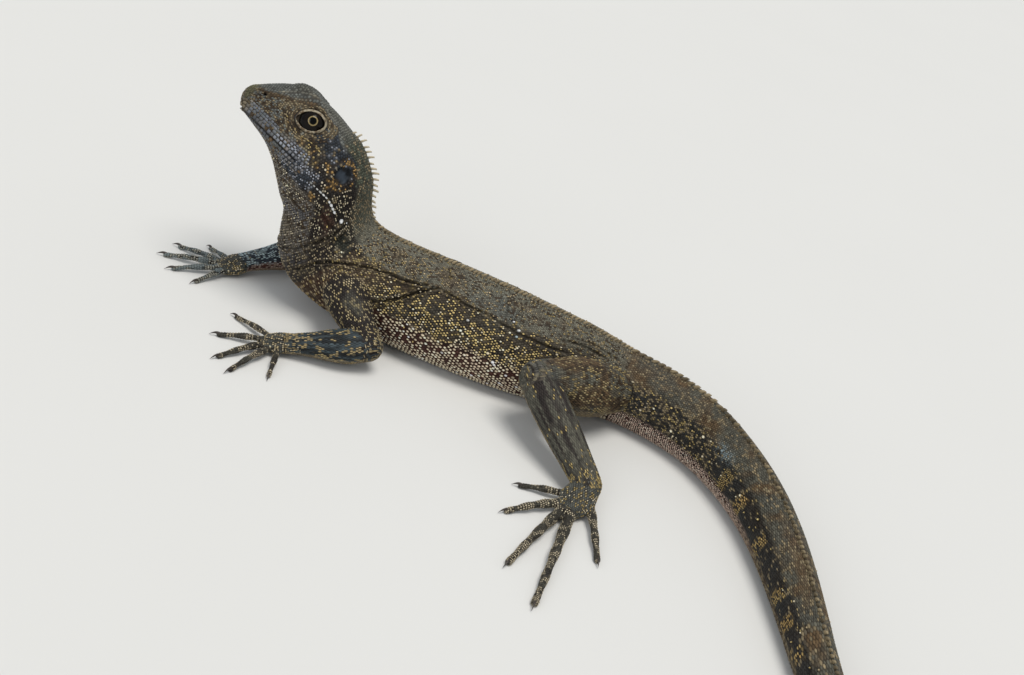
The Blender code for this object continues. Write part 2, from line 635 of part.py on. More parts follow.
def oval(centre, heading, across, high, sides):
    """A ring round a heading, with its wide way level, kept above the floor."""
    side = np.cross(heading, (0, 0, 1))
    side /= np.linalg.norm(side)
    rise = np.cross(side, heading)
    turns = np.linspace(0, 2 * math.pi, sides, endpoint=False)
    ring = np.array([centre + math.cos(a) * high * rise + math.sin(a) * across * side for a in turns])
    ring[:, 2] = np.maximum(ring[:, 2], 0.0)
    return ring


def rounded_tube(start, end, radii, step, sides):
    """Rings of a tube from start to end with a rounded cap past each of them."""
    start, end, radii = np.asarray(start, float), np.asarray(end, float), np.asarray(radii, float)
    length = np.linalg.norm(end - start)
    heading = (end - start) / length
    shares = np.linspace(0, 1, max(3, round(length / step)))
    sizes = smooth_through(radii, np.linspace(0, 1, len(radii)), shares)
    rings = [oval(start + heading * length * share, heading, *size, sides) for share, size in zip(shares, sizes)]
    for corner, size, way, place in ((start, sizes[0], -1, 0), (end, sizes[-1], 1, None)):
        reach = size.min() * 0.95
        for turn in (0.55, 0.92):
            centre = corner + heading * way * reach * turn
            ring = oval(centre, heading, *(size * math.sqrt(1 - turn ** 2)), sides)
            rings.insert(0 if place == 0 else len(rings), ring)
    return rings


def trim(bm, corner, way):
    """Cuts a mesh flat at a corner of the limb, half a gap back from it, and drops what lies beyond."""
    way = Vector(way).normalized()
    bmesh.ops.bisect_plane(bm, geom=bm.verts[:] + bm.edges[:] + bm.faces[:], plane_co=Vector(corner) - way * GAP / 2,
                           plane_no=way, clear_outer=True)
    bmesh.ops.holes_fill(bm, edges=[e for e in bm.edges if e.is_boundary])


def digit_pieces(digit):
    """One toe or finger from its knuckle down to the floor, swollen at its joints, and its claw."""
    root, tip = np.array((*digit.root, 2.7)), np.array((*digit.tip, digit.radius * 0.62))
    length = np.linalg.norm(tip - root)
    heading = (tip - root) / length
    rings = []
    for share in np.linspace(0, 1, DIGIT_RINGS):
        centre = root + (tip - root) * share
        centre[2] += 1.0 * math.sin(math.pi * share) * min(1.0, length / 25)
        radius = digit.radius * (1.15 - 0.5 * share)
        rings.append(oval(centre, heading, radius, radius * 0.95, DIGIT_SIDES))
    claw = []
    for share in (0.0, 0.4, 0.75, 1.0):
        centre = tip + heading * ((digit.claw + 0.9) * share - 0.9)
        centre[2] = digit.radius * 0.62 + 0.5 * math.sin(math.pi * min(1.0, share * 1.2))
        radius = 0.8 * (1 - 0.85 * share)
        claw.append(oval(centre, heading, radius * 0.8, radius, 5))
    return [loft("toe", rings), loft("claw", claw)]


def limb_nodes(limb, trunk):
    """Upper limb, lower limb and foot, the first cut clear of the trunk and the last joined to its digits."""
    fore = limb.name.endswith("fore")
    names = ("upper_arm", "forearm", "forefoot") if fore else ("thigh", "shank", "hindfoot")
    names = [f"{limb.name.split('_')[0]}_{name}" for name in names]
    joint, bend, wrist, palm = (Vector(p) for p in (limb.joint, limb.bend, limb.wrist, limb.palm))
    ways = [(b - a).normalized() for a, b in ((joint, bend), (bend, wrist), (wrist, palm))]
    at_bend, at_wrist = ways[0] + ways[1], ways[1] + ways[2]
    upper, lower, foot = (loft_mesh(rounded_tube(a, b, radii, LIMB_STEP, LIMB_SIDES))
                          for a, b, radii in ((joint, bend, limb.radii[0]), (bend, wrist, limb.radii[1]),
                                              (wrist, palm, limb.radii[2])))
    trim(upper, bend, at_bend)
    trim(lower, bend, -at_bend)
    trim(lower, wrist, at_wrist)
    trim(foot, wrist, -at_wrist)
    upper, lower, foot = (object_from(bm, name) for bm, name in zip((upper, lower, foot), names))
    boolean(upper, [trunk], "DIFFERENCE")
    boolean(foot, [piece for digit in limb.digits for piece in digit_pieces(digit)], "UNION")
    for node in (upper, lower, foot):
        finish(node, "limb_skin")


def trunk_cutter():
    """The trunk and the tail's root, larger all round by the gap, to cut the limbs clear of."""
    knots = ring_knots(key_rings(BODY_SIDES)[0])
    rings = body_rings(knots[NAPE], knots[VENT + 3], BODY_STEP, BODY_SIDES)
    for ring in rings:
        outward = ring - ring.mean(axis=0)
        ring += outward / np.linalg.norm(outward, axis=1, keepdims=True) * GAP * 1.3
    return loft("trunk_cutter", rings)


def main():
    clear_scene()
    head_and_eyes()
    body_nodes()
    for limb in LIMBS:
        limb_nodes(limb, trunk_cutter())


main()
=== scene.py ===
"""A still, life-size Australian water dragon: one skin, its scales, crest, eyes, lids and claws, on a stage.

Lengths in this file are millimetres for an animal of 200 mm from snout to vent; MM turns them into metres.
The head looks towards -X, the animal's left side faces -Y, and the floor is at Z = 0 under the belly.
A place on the body is given as (at, share): the length along it from the front of the mouth, and the way
round it from the back line, 0, to the belly line, 1, on either side. The snout tip lies SNOUT_LEAD ahead.
"""

import math
from collections import namedtuple
from itertools import product

import bmesh
import bpy
import numpy as np
from bpy.props import FloatProperty, FloatVectorProperty, IntProperty, PointerProperty
from mathutils import Matrix, Vector
from mathutils.bvhtree import BVHTree
from mathutils.kdtree import KDTree


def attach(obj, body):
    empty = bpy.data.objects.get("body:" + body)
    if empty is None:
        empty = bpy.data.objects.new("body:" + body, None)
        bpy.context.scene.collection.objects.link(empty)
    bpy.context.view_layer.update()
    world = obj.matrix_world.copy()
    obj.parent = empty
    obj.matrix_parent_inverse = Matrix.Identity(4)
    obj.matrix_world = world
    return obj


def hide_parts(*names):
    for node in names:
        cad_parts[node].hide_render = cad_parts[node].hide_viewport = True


bl_info = {
    "name": "Water Dragon",
    "version": (1, 0, 0),
    "blender": (4, 5, 0),
    "location": "View3D > Sidebar > Water Dragon",
    "description": "Dresses the solids of a water dragon with skin, scales, crest, eyes and claws",
    "category": "Object",
}

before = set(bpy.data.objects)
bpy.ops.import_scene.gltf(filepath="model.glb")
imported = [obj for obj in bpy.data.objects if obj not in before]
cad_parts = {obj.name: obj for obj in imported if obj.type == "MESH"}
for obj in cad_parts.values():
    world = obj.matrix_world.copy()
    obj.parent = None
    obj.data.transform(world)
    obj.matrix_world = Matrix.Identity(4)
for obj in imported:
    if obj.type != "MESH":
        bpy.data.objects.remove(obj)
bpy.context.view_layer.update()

MM = 0.001

# The head's own frame: its origin at the snout tip, h running back along the mouth line and u up across it.
SNOUT = Vector((-111.4, 0.0, 68.5))
SNOUT_ASIDE = -2.3
SNOUT_LEAD = 2.0
HEAD_PITCH = math.radians(23.5)
HEAD_YAW = math.radians(5.0)
HEAD_ROLL = math.radians(-18.0)

Station = namedtuple("Station", "back belly half_width widest roof keel turn")

# Head sections from the snout tip back, with back and belly points as (h, u).
HEAD_STATIONS = (
    Station((-2.0, 5.2), (-0.9, 2.2), 2.0, 0.50, 2.0, 2.0, 1.0),
    Station((-1.5, 7.7), (1.0, -0.2), 3.8, 0.60, 2.2, 2.2, 1.0),
    Station((1.2, 11.2), (4.2, -1.4), 5.2, 0.70, 2.2, 2.2, 1.0),
    Station((4.4, 14.5), (7.0, -1.9), 6.5, 0.75, 2.3, 2.2, 1.0),
    Station((8.3, 18.1), (10.0, -2.5), 7.9, 0.77, 2.6, 2.2, 1.0),
    Station((12.6, 21.4), (13.0, -3.1), 9.3, 0.77, 2.9, 2.2, 1.0),
    Station((17.8, 23.1), (16.8, -4.2), 10.8, 0.74, 3.0, 2.2, 1.0),
    Station((24.0, 23.2), (20.5, -5.9), 12.0, 0.70, 2.8, 2.2, 1.0),
    Station((30.0, 23.0), (24.0, -8.0), 13.2, 0.65, 2.6, 2.2, 1.0),
    Station((36.5, 22.1), (27.3, -10.4), 14.4, 0.615, 2.4, 2.2, 1.0),
    Station((43.0, 20.8), (30.6, -12.9), 15.2, 0.58, 2.2, 2.2, 1.0),
    Station((50.0, 17.6), (34.0, -15.5), 15.2, 0.54, 2.0, 2.2, 1.0),
)

# Neck and trunk sections, with back and belly points as (x, z).
TRUNK_STATIONS = (
    Station((-54.4, 57.5), (-84.0, 36.4), 14.9, 0.50, 2.0, 2.1, 0.80),
    Station((-53.0, 51.5), (-83.2, 27.5), 14.6, 0.50, 1.9, 2.1, 0.50),
    Station((-51.5, 46.0), (-81.8, 18.5), 15.2, 0.50, 1.9, 2.1, 0.22),
    Station((-48.5, 41.8), (-76.0, 10.0), 17.0, 0.52, 1.8, 2.2, 0.07),
    Station((-43.0, 39.4), (-64.0, 3.8), 19.0, 0.55, 1.8, 2.3, 0.0),
    Station((-34.0, 38.4), (-46.0, 0.6), 20.4, 0.58, 1.75, 2.5, 0.0),
    Station((-20.0, 37.8), (-26.0, -0.7), 22.0, 0.60, 1.75, 2.7, 0.0),
    Station((-2.0, 37.0), (-4.0, -0.9), 23.2, 0.62, 1.75, 2.8, 0.0),
    Station((18.0, 35.7), (18.0, -0.9), 22.6, 0.62, 1.75, 2.8, 0.0),
    Station((36.0, 34.2), (36.0, -0.9), 19.4, 0.61, 1.8, 2.6, 0.0),
    Station((50.0, 32.4), (51.0, -0.7), 15.8, 0.58, 1.9, 2.4, 0.0),
    Station((62.0, 30.2), (62.0, -0.6), 13.2, 0.56, 2.0, 2.3, 0.0),
)
NAPE = len(HEAD_STATIONS)
VENT = len(HEAD_STATIONS) + len(TRUNK_STATIONS) - 1

# The tail's line on the floor from the vent to the tip, then its depth and width at lengths from the vent.
TAIL_ROUTE = ((62, 0), (80, -3), (97, -11), (112, -26), (124.5, -47), (133.5, -73), (140, -99.5),
              (146, -126.5), (153.5, -152.5), (166, -177), (186, -199), (213, -214), (246, -220),
              (281, -217), (315, -206), (345, -190), (362, -178))
TAIL_LENGTHS = (0, 25, 60, 110, 165, 230, 300, 370, 445)
TAIL_DEPTHS = (30.8, 29.0, 25.6, 21.6, 17.0, 12.2, 7.6, 4.4, 1.7)
TAIL_WIDTHS = (26.4, 23.8, 21.0, 18.4, 14.2, 9.8, 6.4, 3.9, 1.7)
TAIL_SINK = 0.6
TAIL_KEYS = 22

# Eye, ear, nostril and mouth in the head frame, as (h, side, u) or (h, u), and their sizes.
EYE_CENTRE = (25.6, 8.4, 14.1)
EYE_AXIS = (-0.08, 0.985, 0.12)
EYE_RADIUS = 5.4
LID_SPAN = (5.0, 3.75)
LID_RISE = 3.7
LID_TILT = math.radians(27.0)
LID_BAND = (0.52, 0.36)
GAZE = (0.03, 0.977, 0.21)
EAR_PLACE = (47.0, 7.2)
EAR_SPAN = (3.0, 3.8)
NOSTRIL_PLACE = (5.6, 9.7)
NOSTRIL_SPAN = (0.85, 0.62)
MOUTH_START, MOUTH_END = 1.6, 32.5

Bump = namedtuple("Bump", "line width amount push")

# Swellings and hollows of the head, each along a line of (h, side, u) points, pushed along (h, side, u).
HEAD_FORMS = (
    Bump(((12, 6.0, 19.8), (16.5, 7.2, 21.0), (20, 8.0, 20.8), (23.5, 8.8, 19.8)), 2.5, 2.6, (0, 0.3, 0.95)),
    Bump(((26, 9.4, 19.6), (30, 10.0, 19.0), (34, 10.2, 18.4)), 2.0, 1.0, (0, 0.4, 0.9)),
    Bump(((1, 4.0, 9.4), (5, 5.2, 13.0), (9.5, 5.4, 17.0)), 1.5, 0.25, (0, 0.7, 0.7)),
    Bump(((14, 0, 21), (38, 0, 22)), 3.6, -0.8, (0, 0, 1)),
    Bump(((25.6, 12.5, 13.5),), 6.5, 0.7, (0, 1, 0)),
    Bump(((10, 8, 8), (20, 11.0, 8)), 2.6, -0.9, (0, 1, 0)),
    Bump(((38, 15, -2), (45, 16, -3)), 6.0, 1.5, (0, 1, 0)),
    Bump(((36, 14.5, 10), (42, 15.0, 10)), 3.0, -0.6, (0, 1, 0)),
)

# The crest starts this far back along the crown, and its tall spines stand on the first stretch of it.
CREST_START = 38.5
NAPE_RUN = 36.0

Limb = namedtuple("Limb", "name root joint bend wrist palm radii digits")
Digit = namedtuple("Digit", "root tip radius claw")

# A limb's points from its root inside the trunk to the end of the palm or sole. Its radii are (across, high)
# at five places along each of its upper part, its lower part and its foot.
FORE_RADII = (((6.2, 7.0), (8.4, 8.6), (7.6, 7.8), (6.2, 6.4), (5.6, 5.6)),
              ((5.9, 5.8), (7.0, 6.7), (6.6, 6.0), (5.0, 4.7), (4.2, 3.9)),
              ((4.2, 3.9), (4.8, 3.6), (5.6, 3.4), (5.5, 3.0), (4.6, 2.5)))
HIND_RADII = (((8.0, 9.0), (11.0, 11.2), (11.4, 11.4), (9.4, 9.6), (7.2, 7.6)),
              ((7.2, 7.2), (7.6, 7.4), (7.2, 6.9), (6.3, 6.0), (5.4, 5.0)),
              ((5.4, 4.9), (5.8, 4.4), (6.4, 3.9), (6.2, 3.3), (5.2, 2.7)))
LIMBS = (
    Limb("left_fore", (-60, -3, 22), (-55, -13, 20), (-32.5, -36, 9.5), (-58.5, -46, 5.0),
         (-67.5, -47.2, 2.6), FORE_RADII,
         (Digit((-66, -44.5), (-83.5, -35.5), 1.35, 3.2), Digit((-67.5, -46.5), (-84.5, -52.0), 1.45, 3.4),
          Digit((-67, -48.5), (-79.5, -66.0), 1.5, 3.4), Digit((-65, -50), (-73.0, -71.5), 1.45, 3.4),
          Digit((-62.5, -50), (-60.3, -66.0), 1.3, 3.0))),
    Limb("right_fore", (-60, 3, 20), (-58, 12, 18), (-70, 26, 9.5), (-93, 1.5, 5.2), (-100, -5.5, 2.6),
         FORE_RADII,
         (Digit((-98, -7), (-105.5, -21.0), 1.35, 3.2), Digit((-100, -7), (-116.0, -18.0), 1.45, 3.4),
          Digit((-101, -5), (-122.5, -10.0), 1.5, 3.4), Digit((-100, -3), (-120.5, 0.5), 1.45, 3.4),
          Digit((-97, -1.5), (-110.5, 8.5), 1.3, 3.0))),
    Limb("left_hind", (68, -3, 18), (60, -12, 16), (30, -34, 21.6), (60, -66, 6.0), (56.5, -80, 2.8),
         HIND_RADII,
         (Digit((54, -72), (37.5, -74.5), 1.5, 3.0), Digit((53, -78), (35.5, -92.5), 1.7, 3.2),
          Digit((54, -81), (41.0, -120.0), 1.9, 3.6), Digit((57, -82), (52.5, -135.5), 2.0, 3.8),
          Digit((62, -70), (69.5, -101.0), 1.7, 3.2))),
    Limb("right_hind", (68, 3, 16), (60, 11, 13.5), (24, 27, 10.0), (58.5, 39, 5.6), (48, 48.5, 2.8),
         HIND_RADII,
         (Digit((51, 43.5), (35.0, 42.0), 1.5, 3.0), Digit((48.5, 46.5), (27.0, 47.0), 1.7, 3.2),
          Digit((48, 48.5), (10.5, 52.5), 1.9, 3.6), Digit((49, 50.5), (-3.0, 61.0), 2.0, 3.8),
          Digit((57, 47), (43.5, 64.0), 1.7, 3.2))),
)

Fold = namedtuple("Fold", "line width depth lip")

# Creases of the skin, each along a line of (at, share) points, the same on both sides.
FOLDS = (
    Fold(((72, 0.74), (72.5, 0.62), (73, 0.52), (75, 0.44), (78, 0.39), (82, 0.335), (86, 0.31), (89, 0.29),
          (97, 0.27), (105, 0.262), (110, 0.25), (116, 0.235)), 0.5, 1.0, 0.6),
    Fold(((97, 0.49), (101, 0.44), (105, 0.40), (111, 0.31), (116, 0.25), (120, 0.215)), 0.55, 1.15, 0.75),
    Fold(((119, 0.225), (124, 0.23), (132, 0.25), (137, 0.25), (142, 0.255)), 0.5, 0.95, 0.5),
    Fold(((142, 0.255), (147, 0.27), (156, 0.29), (168, 0.30), (176, 0.29)), 0.6, 0.5, 0.3),
    Fold(((64, 0.26), (66, 0.34), (66.5, 0.46), (66, 0.60), (65, 0.75), (63, 0.88), (62, 1.0)),
         0.6, 0.9, 0.7),
    Fold(((50, 0.60), (55, 0.50), (60, 0.42), (66, 0.34)), 0.7, 0.5, 0.3),
    Fold(((44, 0.80), (52, 0.68), (58, 0.60)), 0.7, 0.4, 0.25),
    Fold(((172, 0.22), (180, 0.20), (190, 0.215)), 0.55, 0.7, 0.5),
    Fold(((176, 0.17), (186, 0.16), (196, 0.19)), 0.55, 0.45, 0.35),
    Fold(((87, 0.12), (90, 0.19), (89, 0.26)), 0.45, 0.30, 0.25),
    Fold(((94, 0.08), (97, 0.15), (97, 0.22)), 0.45, 0.30, 0.25),
    Fold(((118, 0.06), (121, 0.12), (122, 0.18)), 0.45, 0.30, 0.25),
    Fold(((146, 0.10), (148, 0.17), (148, 0.24)), 0.45, 0.35, 0.30),
    Fold(((152, 0.09), (154, 0.16), (154, 0.23)), 0.45, 0.30, 0.25),
)

# Shallow hollows and swellings of the trunk as (at, share), reach and rise.
HOLLOWS = (
    ((105, 0.29), 8.0, -0.9),
    ((71, 0.31), 5.0, -0.9),
    ((86, 0.22), 8.0, 0.5),
    ((128, 0.42), 16.0, 0.5),
    ((92, 0.42), 8.0, 0.6),
)


def number_property(name, description, default, **more):
    return FloatProperty(name=name, description=description, default=default, **more)


def length_property(name, description, millimetres):
    return number_property(name, description, millimetres * MM, unit="LENGTH", precision=5)


def angle_property(name, description, degrees):
    return number_property(name, description, math.radians(degrees), subtype="ANGLE", unit="ROTATION")


def colour_property(name, description, rgb):
    return FloatVectorProperty(name=name, description=description, default=rgb, subtype="COLOR", min=0.0,
                               max=1.0)


class DragonForm(bpy.types.PropertyGroup):
    """Sizes of the skin and of what stands on it."""
    voxel: length_property("Skin grain", "Distance between the skin's points before it is thinned", 0.52)
    skin_faces: IntProperty(name="Skin triangles", description="Triangles that the thinned skin keeps",
                            default=185000)
    coat_depth: length_property("Coat depth", "How far the skin lies inside the scale tips", 0.38)
    fold_depth: number_property("Fold depth", "Share of their full depth that the creases have", 1.0,
                                subtype="FACTOR", min=0.0, max=2.0)
    nape_spines: length_property("Nape spines", "Height of the tall spines behind the head", 1.7)
    back_spines: length_property("Back spines", "Height of the low spines along the back", 0.9)
    tail_spines: length_property("Tail spines", "Height of the saw edge of the tail", 1.35)
    seed: IntProperty(name="Seed", description="Seed of every random draw", default=11)


class DragonScales(bpy.types.PropertyGroup):
    """Distances from one scale to the next."""
    back: length_property("Back", "Pitch of the small scales of the back", 0.85)
    flank: length_property("Flank", "Pitch of the scales of the upper flank", 1.02)
    belly: length_property("Belly", "Pitch of the rhombic scales of the lower flank and belly", 1.35)
    throat: length_property("Throat", "Pitch of the granules of the throat", 0.88)
    crown: length_property("Crown", "Pitch of the low scales of the crown", 0.78)
    head: length_property("Head", "Pitch of the scales of the snout, temples and cheeks", 0.95)
    tail: length_property("Tail", "Length of one row of the tail", 1.5)
    limb: length_property("Limb", "Pitch of the keeled scales of the legs", 1.08)
    toe: length_property("Toe", "Pitch of the scales of fingers and toes", 0.95)


class DragonColours(bpy.types.PropertyGroup):
    """The paints of the animal, which skin and scales share."""
    ground: colour_property("Ground", "Dark skin between the scales", (0.008, 0.006, 0.005))
    olive: colour_property("Olive", "Grey-olive scales of the back", (0.135, 0.128, 0.096))
    umber: colour_property("Umber", "Brown patches of the back and thighs", (0.105, 0.066, 0.031))
    slate: colour_property("Slate", "Blue-grey scales of the flanks", (0.058, 0.068, 0.068))
    gold: colour_property("Gold", "Golden scales of the flanks and tail bands", (0.56, 0.42, 0.17))
    cream: colour_property("Cream", "Cream scales of the lower flank", (0.84, 0.72, 0.50))
    chalk: colour_property("Chalk", "Palest tubercles and the streak of the neck", (0.95, 0.95, 0.90))
    rust: colour_property("Rust", "Red-brown skin of the lower flank and belly", (0.070, 0.022, 0.014))
    crown: colour_property("Crown", "Grey top of the head", (0.116, 0.120, 0.108))
    lilac: colour_property("Lilac", "Lip shields and jaw scales", (0.185, 0.196, 0.222))
    moss: colour_property("Moss", "Greenish nape and snout tip", (0.062, 0.070, 0.048))
    tan: colour_property("Tan", "Band under the brow, lids and throat", (0.230, 0.180, 0.105))
    orange: colour_property("Orange", "Scales round the ear and bands of the tail", (0.42, 0.255, 0.085))
    night: colour_property("Night", "Blue-black of the temples", (0.018, 0.023, 0.030))
    teal: colour_property("Teal", "Blue-green of the forearms", (0.027, 0.037, 0.041))
    ice: colour_property("Ice", "Pale blue-grey of the far forearm", (0.42, 0.52, 0.54))
    blush: colour_property("Blush", "Pinkish underside of the tail's root", (0.40, 0.29, 0.23))
    iris: colour_property("Iris", "Brown of the iris", (0.006, 0.004, 0.003))
    iris_ring: colour_property("Iris ring", "Thin pale ring round the pupil", (0.34, 0.26, 0.12))
    claw: colour_property("Claw", "Horn of the claws", (0.022, 0.016, 0.012))


class DragonStage(bpy.types.PropertyGroup):
    """Floor, lights and camera."""
    floor: colour_property("Floor", "Pale floor", (0.66, 0.655, 0.635))
    floor_radius: number_property("Floor radius", "Radius of the round floor", 9.0, unit="LENGTH")
    key_power: number_property("Key light", "Strength of the broad light from above", 2.1)
    key_spread: angle_property("Key spread", "Width of the broad light, which softens its shadows", 32.0)
    fill_power: number_property("Fill light", "Strength of the light from the camera's side", 0.75)
    sky: number_property("Sky", "Strength of the even light from all round", 0.50)
    elevation: angle_property("Camera elevation", "Angle of the camera above the floor", 27.0)
    roll: angle_property("Camera roll", "Turn of the camera about its own axis", 21.0)
    distance: length_property("Camera distance", "From the camera to the point it looks at", 560.0)
    target: FloatVectorProperty(name="Camera target", description="Point at the centre of the frame",
                                default=(16.0 * MM, 0.0, 16.4 * MM), subtype="XYZ", unit="LENGTH")
    lens: number_property("Lens", "Focal length of the camera in millimetres", 50.0)


def form():
    return bpy.context.scene.dragon_form


def pitch(name):
    """Distance between the scales of one region in millimetres."""
    return getattr(bpy.context.scene.dragon_scales, name) / MM


class Hues:
    """The animal's colours by name, as the scene's settings give them."""

    def __getattr__(self, name):
        return np.array(getattr(bpy.context.scene.dragon_colours, name), float)


hue = Hues()


def random_draws(piece):
    """A random generator of one piece's own, the same in each run."""
    return np.random.default_rng([form().seed, sum(ord(letter) * (i + 1) for i, letter in enumerate(piece))])


# Shape of the body

def smooth_through(values, knots, at):
    """Reads a smooth curve that passes through the values at the knots."""
    values, knots, at = (np.asarray(a, float) for a in (values, knots, at))
    slopes = np.gradient(values, knots, axis=0)
    cell = np.clip(np.searchsorted(knots, at, side="right") - 1, 0, len(knots) - 2)
    spread = (-1,) + (1,) * (values.ndim - 1)
    step = (knots[cell + 1] - knots[cell]).reshape(spread)
    f = (at - knots[cell]).reshape(spread) / step
    start, end = values[cell], values[cell + 1]
    return (start * (1 + 2 * f) * (1 - f) ** 2 + slopes[cell] * step * f * (1 - f) ** 2
            + end * f ** 2 * (3 - 2 * f) + slopes[cell + 1] * step * f ** 2 * (f - 1))


def run_along(points):
    """Length along a line of points, from 0 at its start."""
    return np.concatenate([[0.0], np.cumsum(np.linalg.norm(np.diff(points, axis=0), axis=1))])


def ramp(low, high, values):
    """Rises smoothly from 0 at low to 1 at high."""
    f = np.clip((np.asarray(values, float) - low) / (high - low), 0, 1)
    return f * f * (3 - 2 * f)


def unit(vectors):
    return vectors / np.maximum(np.linalg.norm(vectors, axis=-1, keepdims=True), 1e-9)


def head_frame(side=1):
    """Carries (h, side, u) to the side view, before the head is turned, with side -1 for the left."""
    c, s = math.cos(HEAD_PITCH), math.sin(HEAD_PITCH)
    return Matrix(((c, 0, s, SNOUT.x), (0, side, 0, 0), (-s, 0, c, SNOUT.z), (0, 0, 0, 1)))


def head_turn():
    """Turns the head aside and tips it, about the snout."""
    turn = Matrix.Rotation(HEAD_YAW, 4, "Z") @ Matrix.Rotation(HEAD_ROLL, 4, "X")
    return Matrix.Translation(SNOUT + Vector((0, SNOUT_ASIDE, 0))) @ turn @ Matrix.Translation(-SNOUT)


def head_matrix(side):
    """Carries (h, side, u) of the head to its turned place, with side -1 for the left and 1 for the right."""
    return head_turn() @ head_frame(side)


def moved(matrix, points):
    """The points carried by a matrix."""
    matrix = np.array(matrix)
    return points @ matrix[:3, :3].T + matrix[:3, 3]


def head_places(points):
    """Points of the finished head as (h, u), the same on both sides."""
    return moved(head_matrix(1).inverted(), points)[:, [0, 2]]


def section(back, belly, left, half_width, widest, roof, keel, count):
    """A ring of evenly spaced points: from the back line down the left side to the belly and up the right."""
    back, belly, left = (np.asarray(a, float) for a in (back, belly, left))
    angle = np.linspace(0, math.pi, 241)
    lift, out = np.abs(np.cos(angle)), np.sin(angle)
    power = np.where(angle < math.pi / 2, 2 / roof, 2 / keel)
    down = np.where(angle < math.pi / 2, widest * (1 - lift ** power), widest + (1 - widest) * lift ** power)
    outline = np.column_stack([half_width * out ** power, down * np.linalg.norm(belly - back)])
    even = np.linspace(0, run_along(outline)[-1], count // 2 + 1)
    side = np.interp(even, run_along(outline), outline[:, 0])[:, None]
    down = np.interp(even, run_along(outline), down)[:, None]
    middle = back + down * (belly - back)
    return np.concatenate([middle + side * left, (middle - side * left)[-2:0:-1]])


def tail_stations():
    """Key sections of the tail behind the vent, with its two floor coordinates read from the route."""
    route = np.asarray(TAIL_ROUTE, float)
    knots = run_along(route)
    line = smooth_through(route, knots, np.linspace(0, knots[-1], 400))
    length = run_along(line)
    heading = unit(np.gradient(line, axis=0))
    for share in (np.arange(TAIL_KEYS) + 1) / TAIL_KEYS:
        at = share * length[-1]
        x, y, hx, hy = (np.interp(at, length, column) for column in (*line.T, *heading.T))
        depth = smooth_through(TAIL_DEPTHS, TAIL_LENGTHS, [share * TAIL_LENGTHS[-1]])[0]
        width = smooth_through(TAIL_WIDTHS, TAIL_LENGTHS, [share * TAIL_LENGTHS[-1]])[0]
        sink = TAIL_SINK * min(1.0, depth / 12)
        yield share, (x, y, depth - sink), (x, y, -sink), (hy, -hx, 0), width / 2


def key_rings(count):
    """The body's key rings from snout tip to tail tip, and the share of the head's turn that each takes."""
    rings, turns = [], []
    for i, s in enumerate(HEAD_STATIONS + TRUNK_STATIONS):
        back, belly = Vector((s.back[0], 0, s.back[1])), Vector((s.belly[0], 0, s.belly[1]))
        if i < NAPE:
            back, belly = head_frame() @ back, head_frame() @ belly
        rings.append(section(back, belly, (0, -1, 0), s.half_width, s.widest, s.roof, s.keel, count))
        turns.append(s.turn)
    for share, back, belly, side, half_width in tail_stations():
        roof = 2.0 - 0.1 * min(1.0, share * 4)
        rings.append(section(back, belly, side, half_width, 0.56, roof, 2.3, count))
        turns.append(0.0)
    return np.array(rings), np.array(turns)


def distance_to_line(points, line):
    """Distance of each point from a line of points, or from the one point that it holds."""
    line = np.asarray(line, float)
    if len(line) == 1:
        return np.linalg.norm(points - line[0], axis=-1)
    nearest = np.full(points.shape[:-1], np.inf)
    for start, end in zip(line[:-1], line[1:]):
        along = end - start
        f = np.clip((points - start) @ along / (along @ along), 0, 1)
        nearest = np.minimum(nearest, np.linalg.norm(points - start - f[..., None] * along, axis=-1))
    return nearest


def shape_head(points):
    """Adds the head's swellings and hollows to points of the side view, before the head is turned."""
    local = moved(head_frame().inverted(), points)
    local = np.stack([local[..., 0], np.abs(local[..., 1]), local[..., 2]], axis=-1)
    push = np.zeros_like(local)
    for bump in HEAD_FORMS:
        share = np.exp(-(distance_to_line(local, bump.line) / bump.width) ** 2)
        push += bump.amount * share[..., None] * np.asarray(bump.push, float)
    c, s = math.cos(HEAD_PITCH), math.sin(HEAD_PITCH)
    back, aside, up = push[..., 0], np.sign(points[..., 1]) * push[..., 1], push[..., 2]
    return points + np.stack([back * c + up * s, aside, up * c - back * s], axis=-1)


class Body:
    """The body as rings read anywhere along it."""

    def __init__(self, count=96):
        self.count = count
        self.keys, self.turns = key_rings(count)
        self.knots = run_along(self.keys.mean(axis=1)) - SNOUT_LEAD
        self.vent, self.end = self.knots[VENT], self.knots[-1]

    def rings(self, at):
        """Rings at lengths from the snout, shaped, turned and flat on the floor."""
        rings = shape_head(smooth_through(self.keys, self.knots, at))
        share = np.interp(at, self.knots, self.turns)[:, None, None]
        rings = (1 - share) * rings + share * moved(head_turn(), rings)
        rings[..., 2] = np.maximum(rings[..., 2], 0.0)
        return rings

    def points(self, at, share, side):
        """Surface points at (at, share) on the left, side -1, or the right, side 1."""
        at, share, side = np.broadcast_arrays(*(np.asarray(a, float) for a in (at, share, side)))
        rings = self.rings(at.ravel())
        place = share.ravel() * self.count / 2
        place = np.where(side.ravel() < 0, place, self.count - place) % self.count
        low = np.floor(place).astype(int)
        f = (place - low)[:, None]
        rows = np.arange(len(rings))
        return (1 - f) * rings[rows, low % self.count] + f * rings[rows, (low + 1) % self.count]

    def unwrap(self, at, share, side):
        """The place on the bake map: the length runs along it and the way round across it."""
        return np.column_stack([(at + SNOUT_LEAD) / (self.end + SNOUT_LEAD), 0.5 + side * share / 2])

    def line(self, places, side, step=0.5):
        """Points every step along a line of (at, share) places."""
        places = np.asarray(places, float)
        coarse = self.points(places[:, 0], places[:, 1], side)
        length = run_along(coarse)
        fine = np.linspace(0, length[-1], max(3, round(length[-1] / step)))
        at, share = (np.interp(fine, length, column) for column in places.T)
        return self.points(at, share, side)


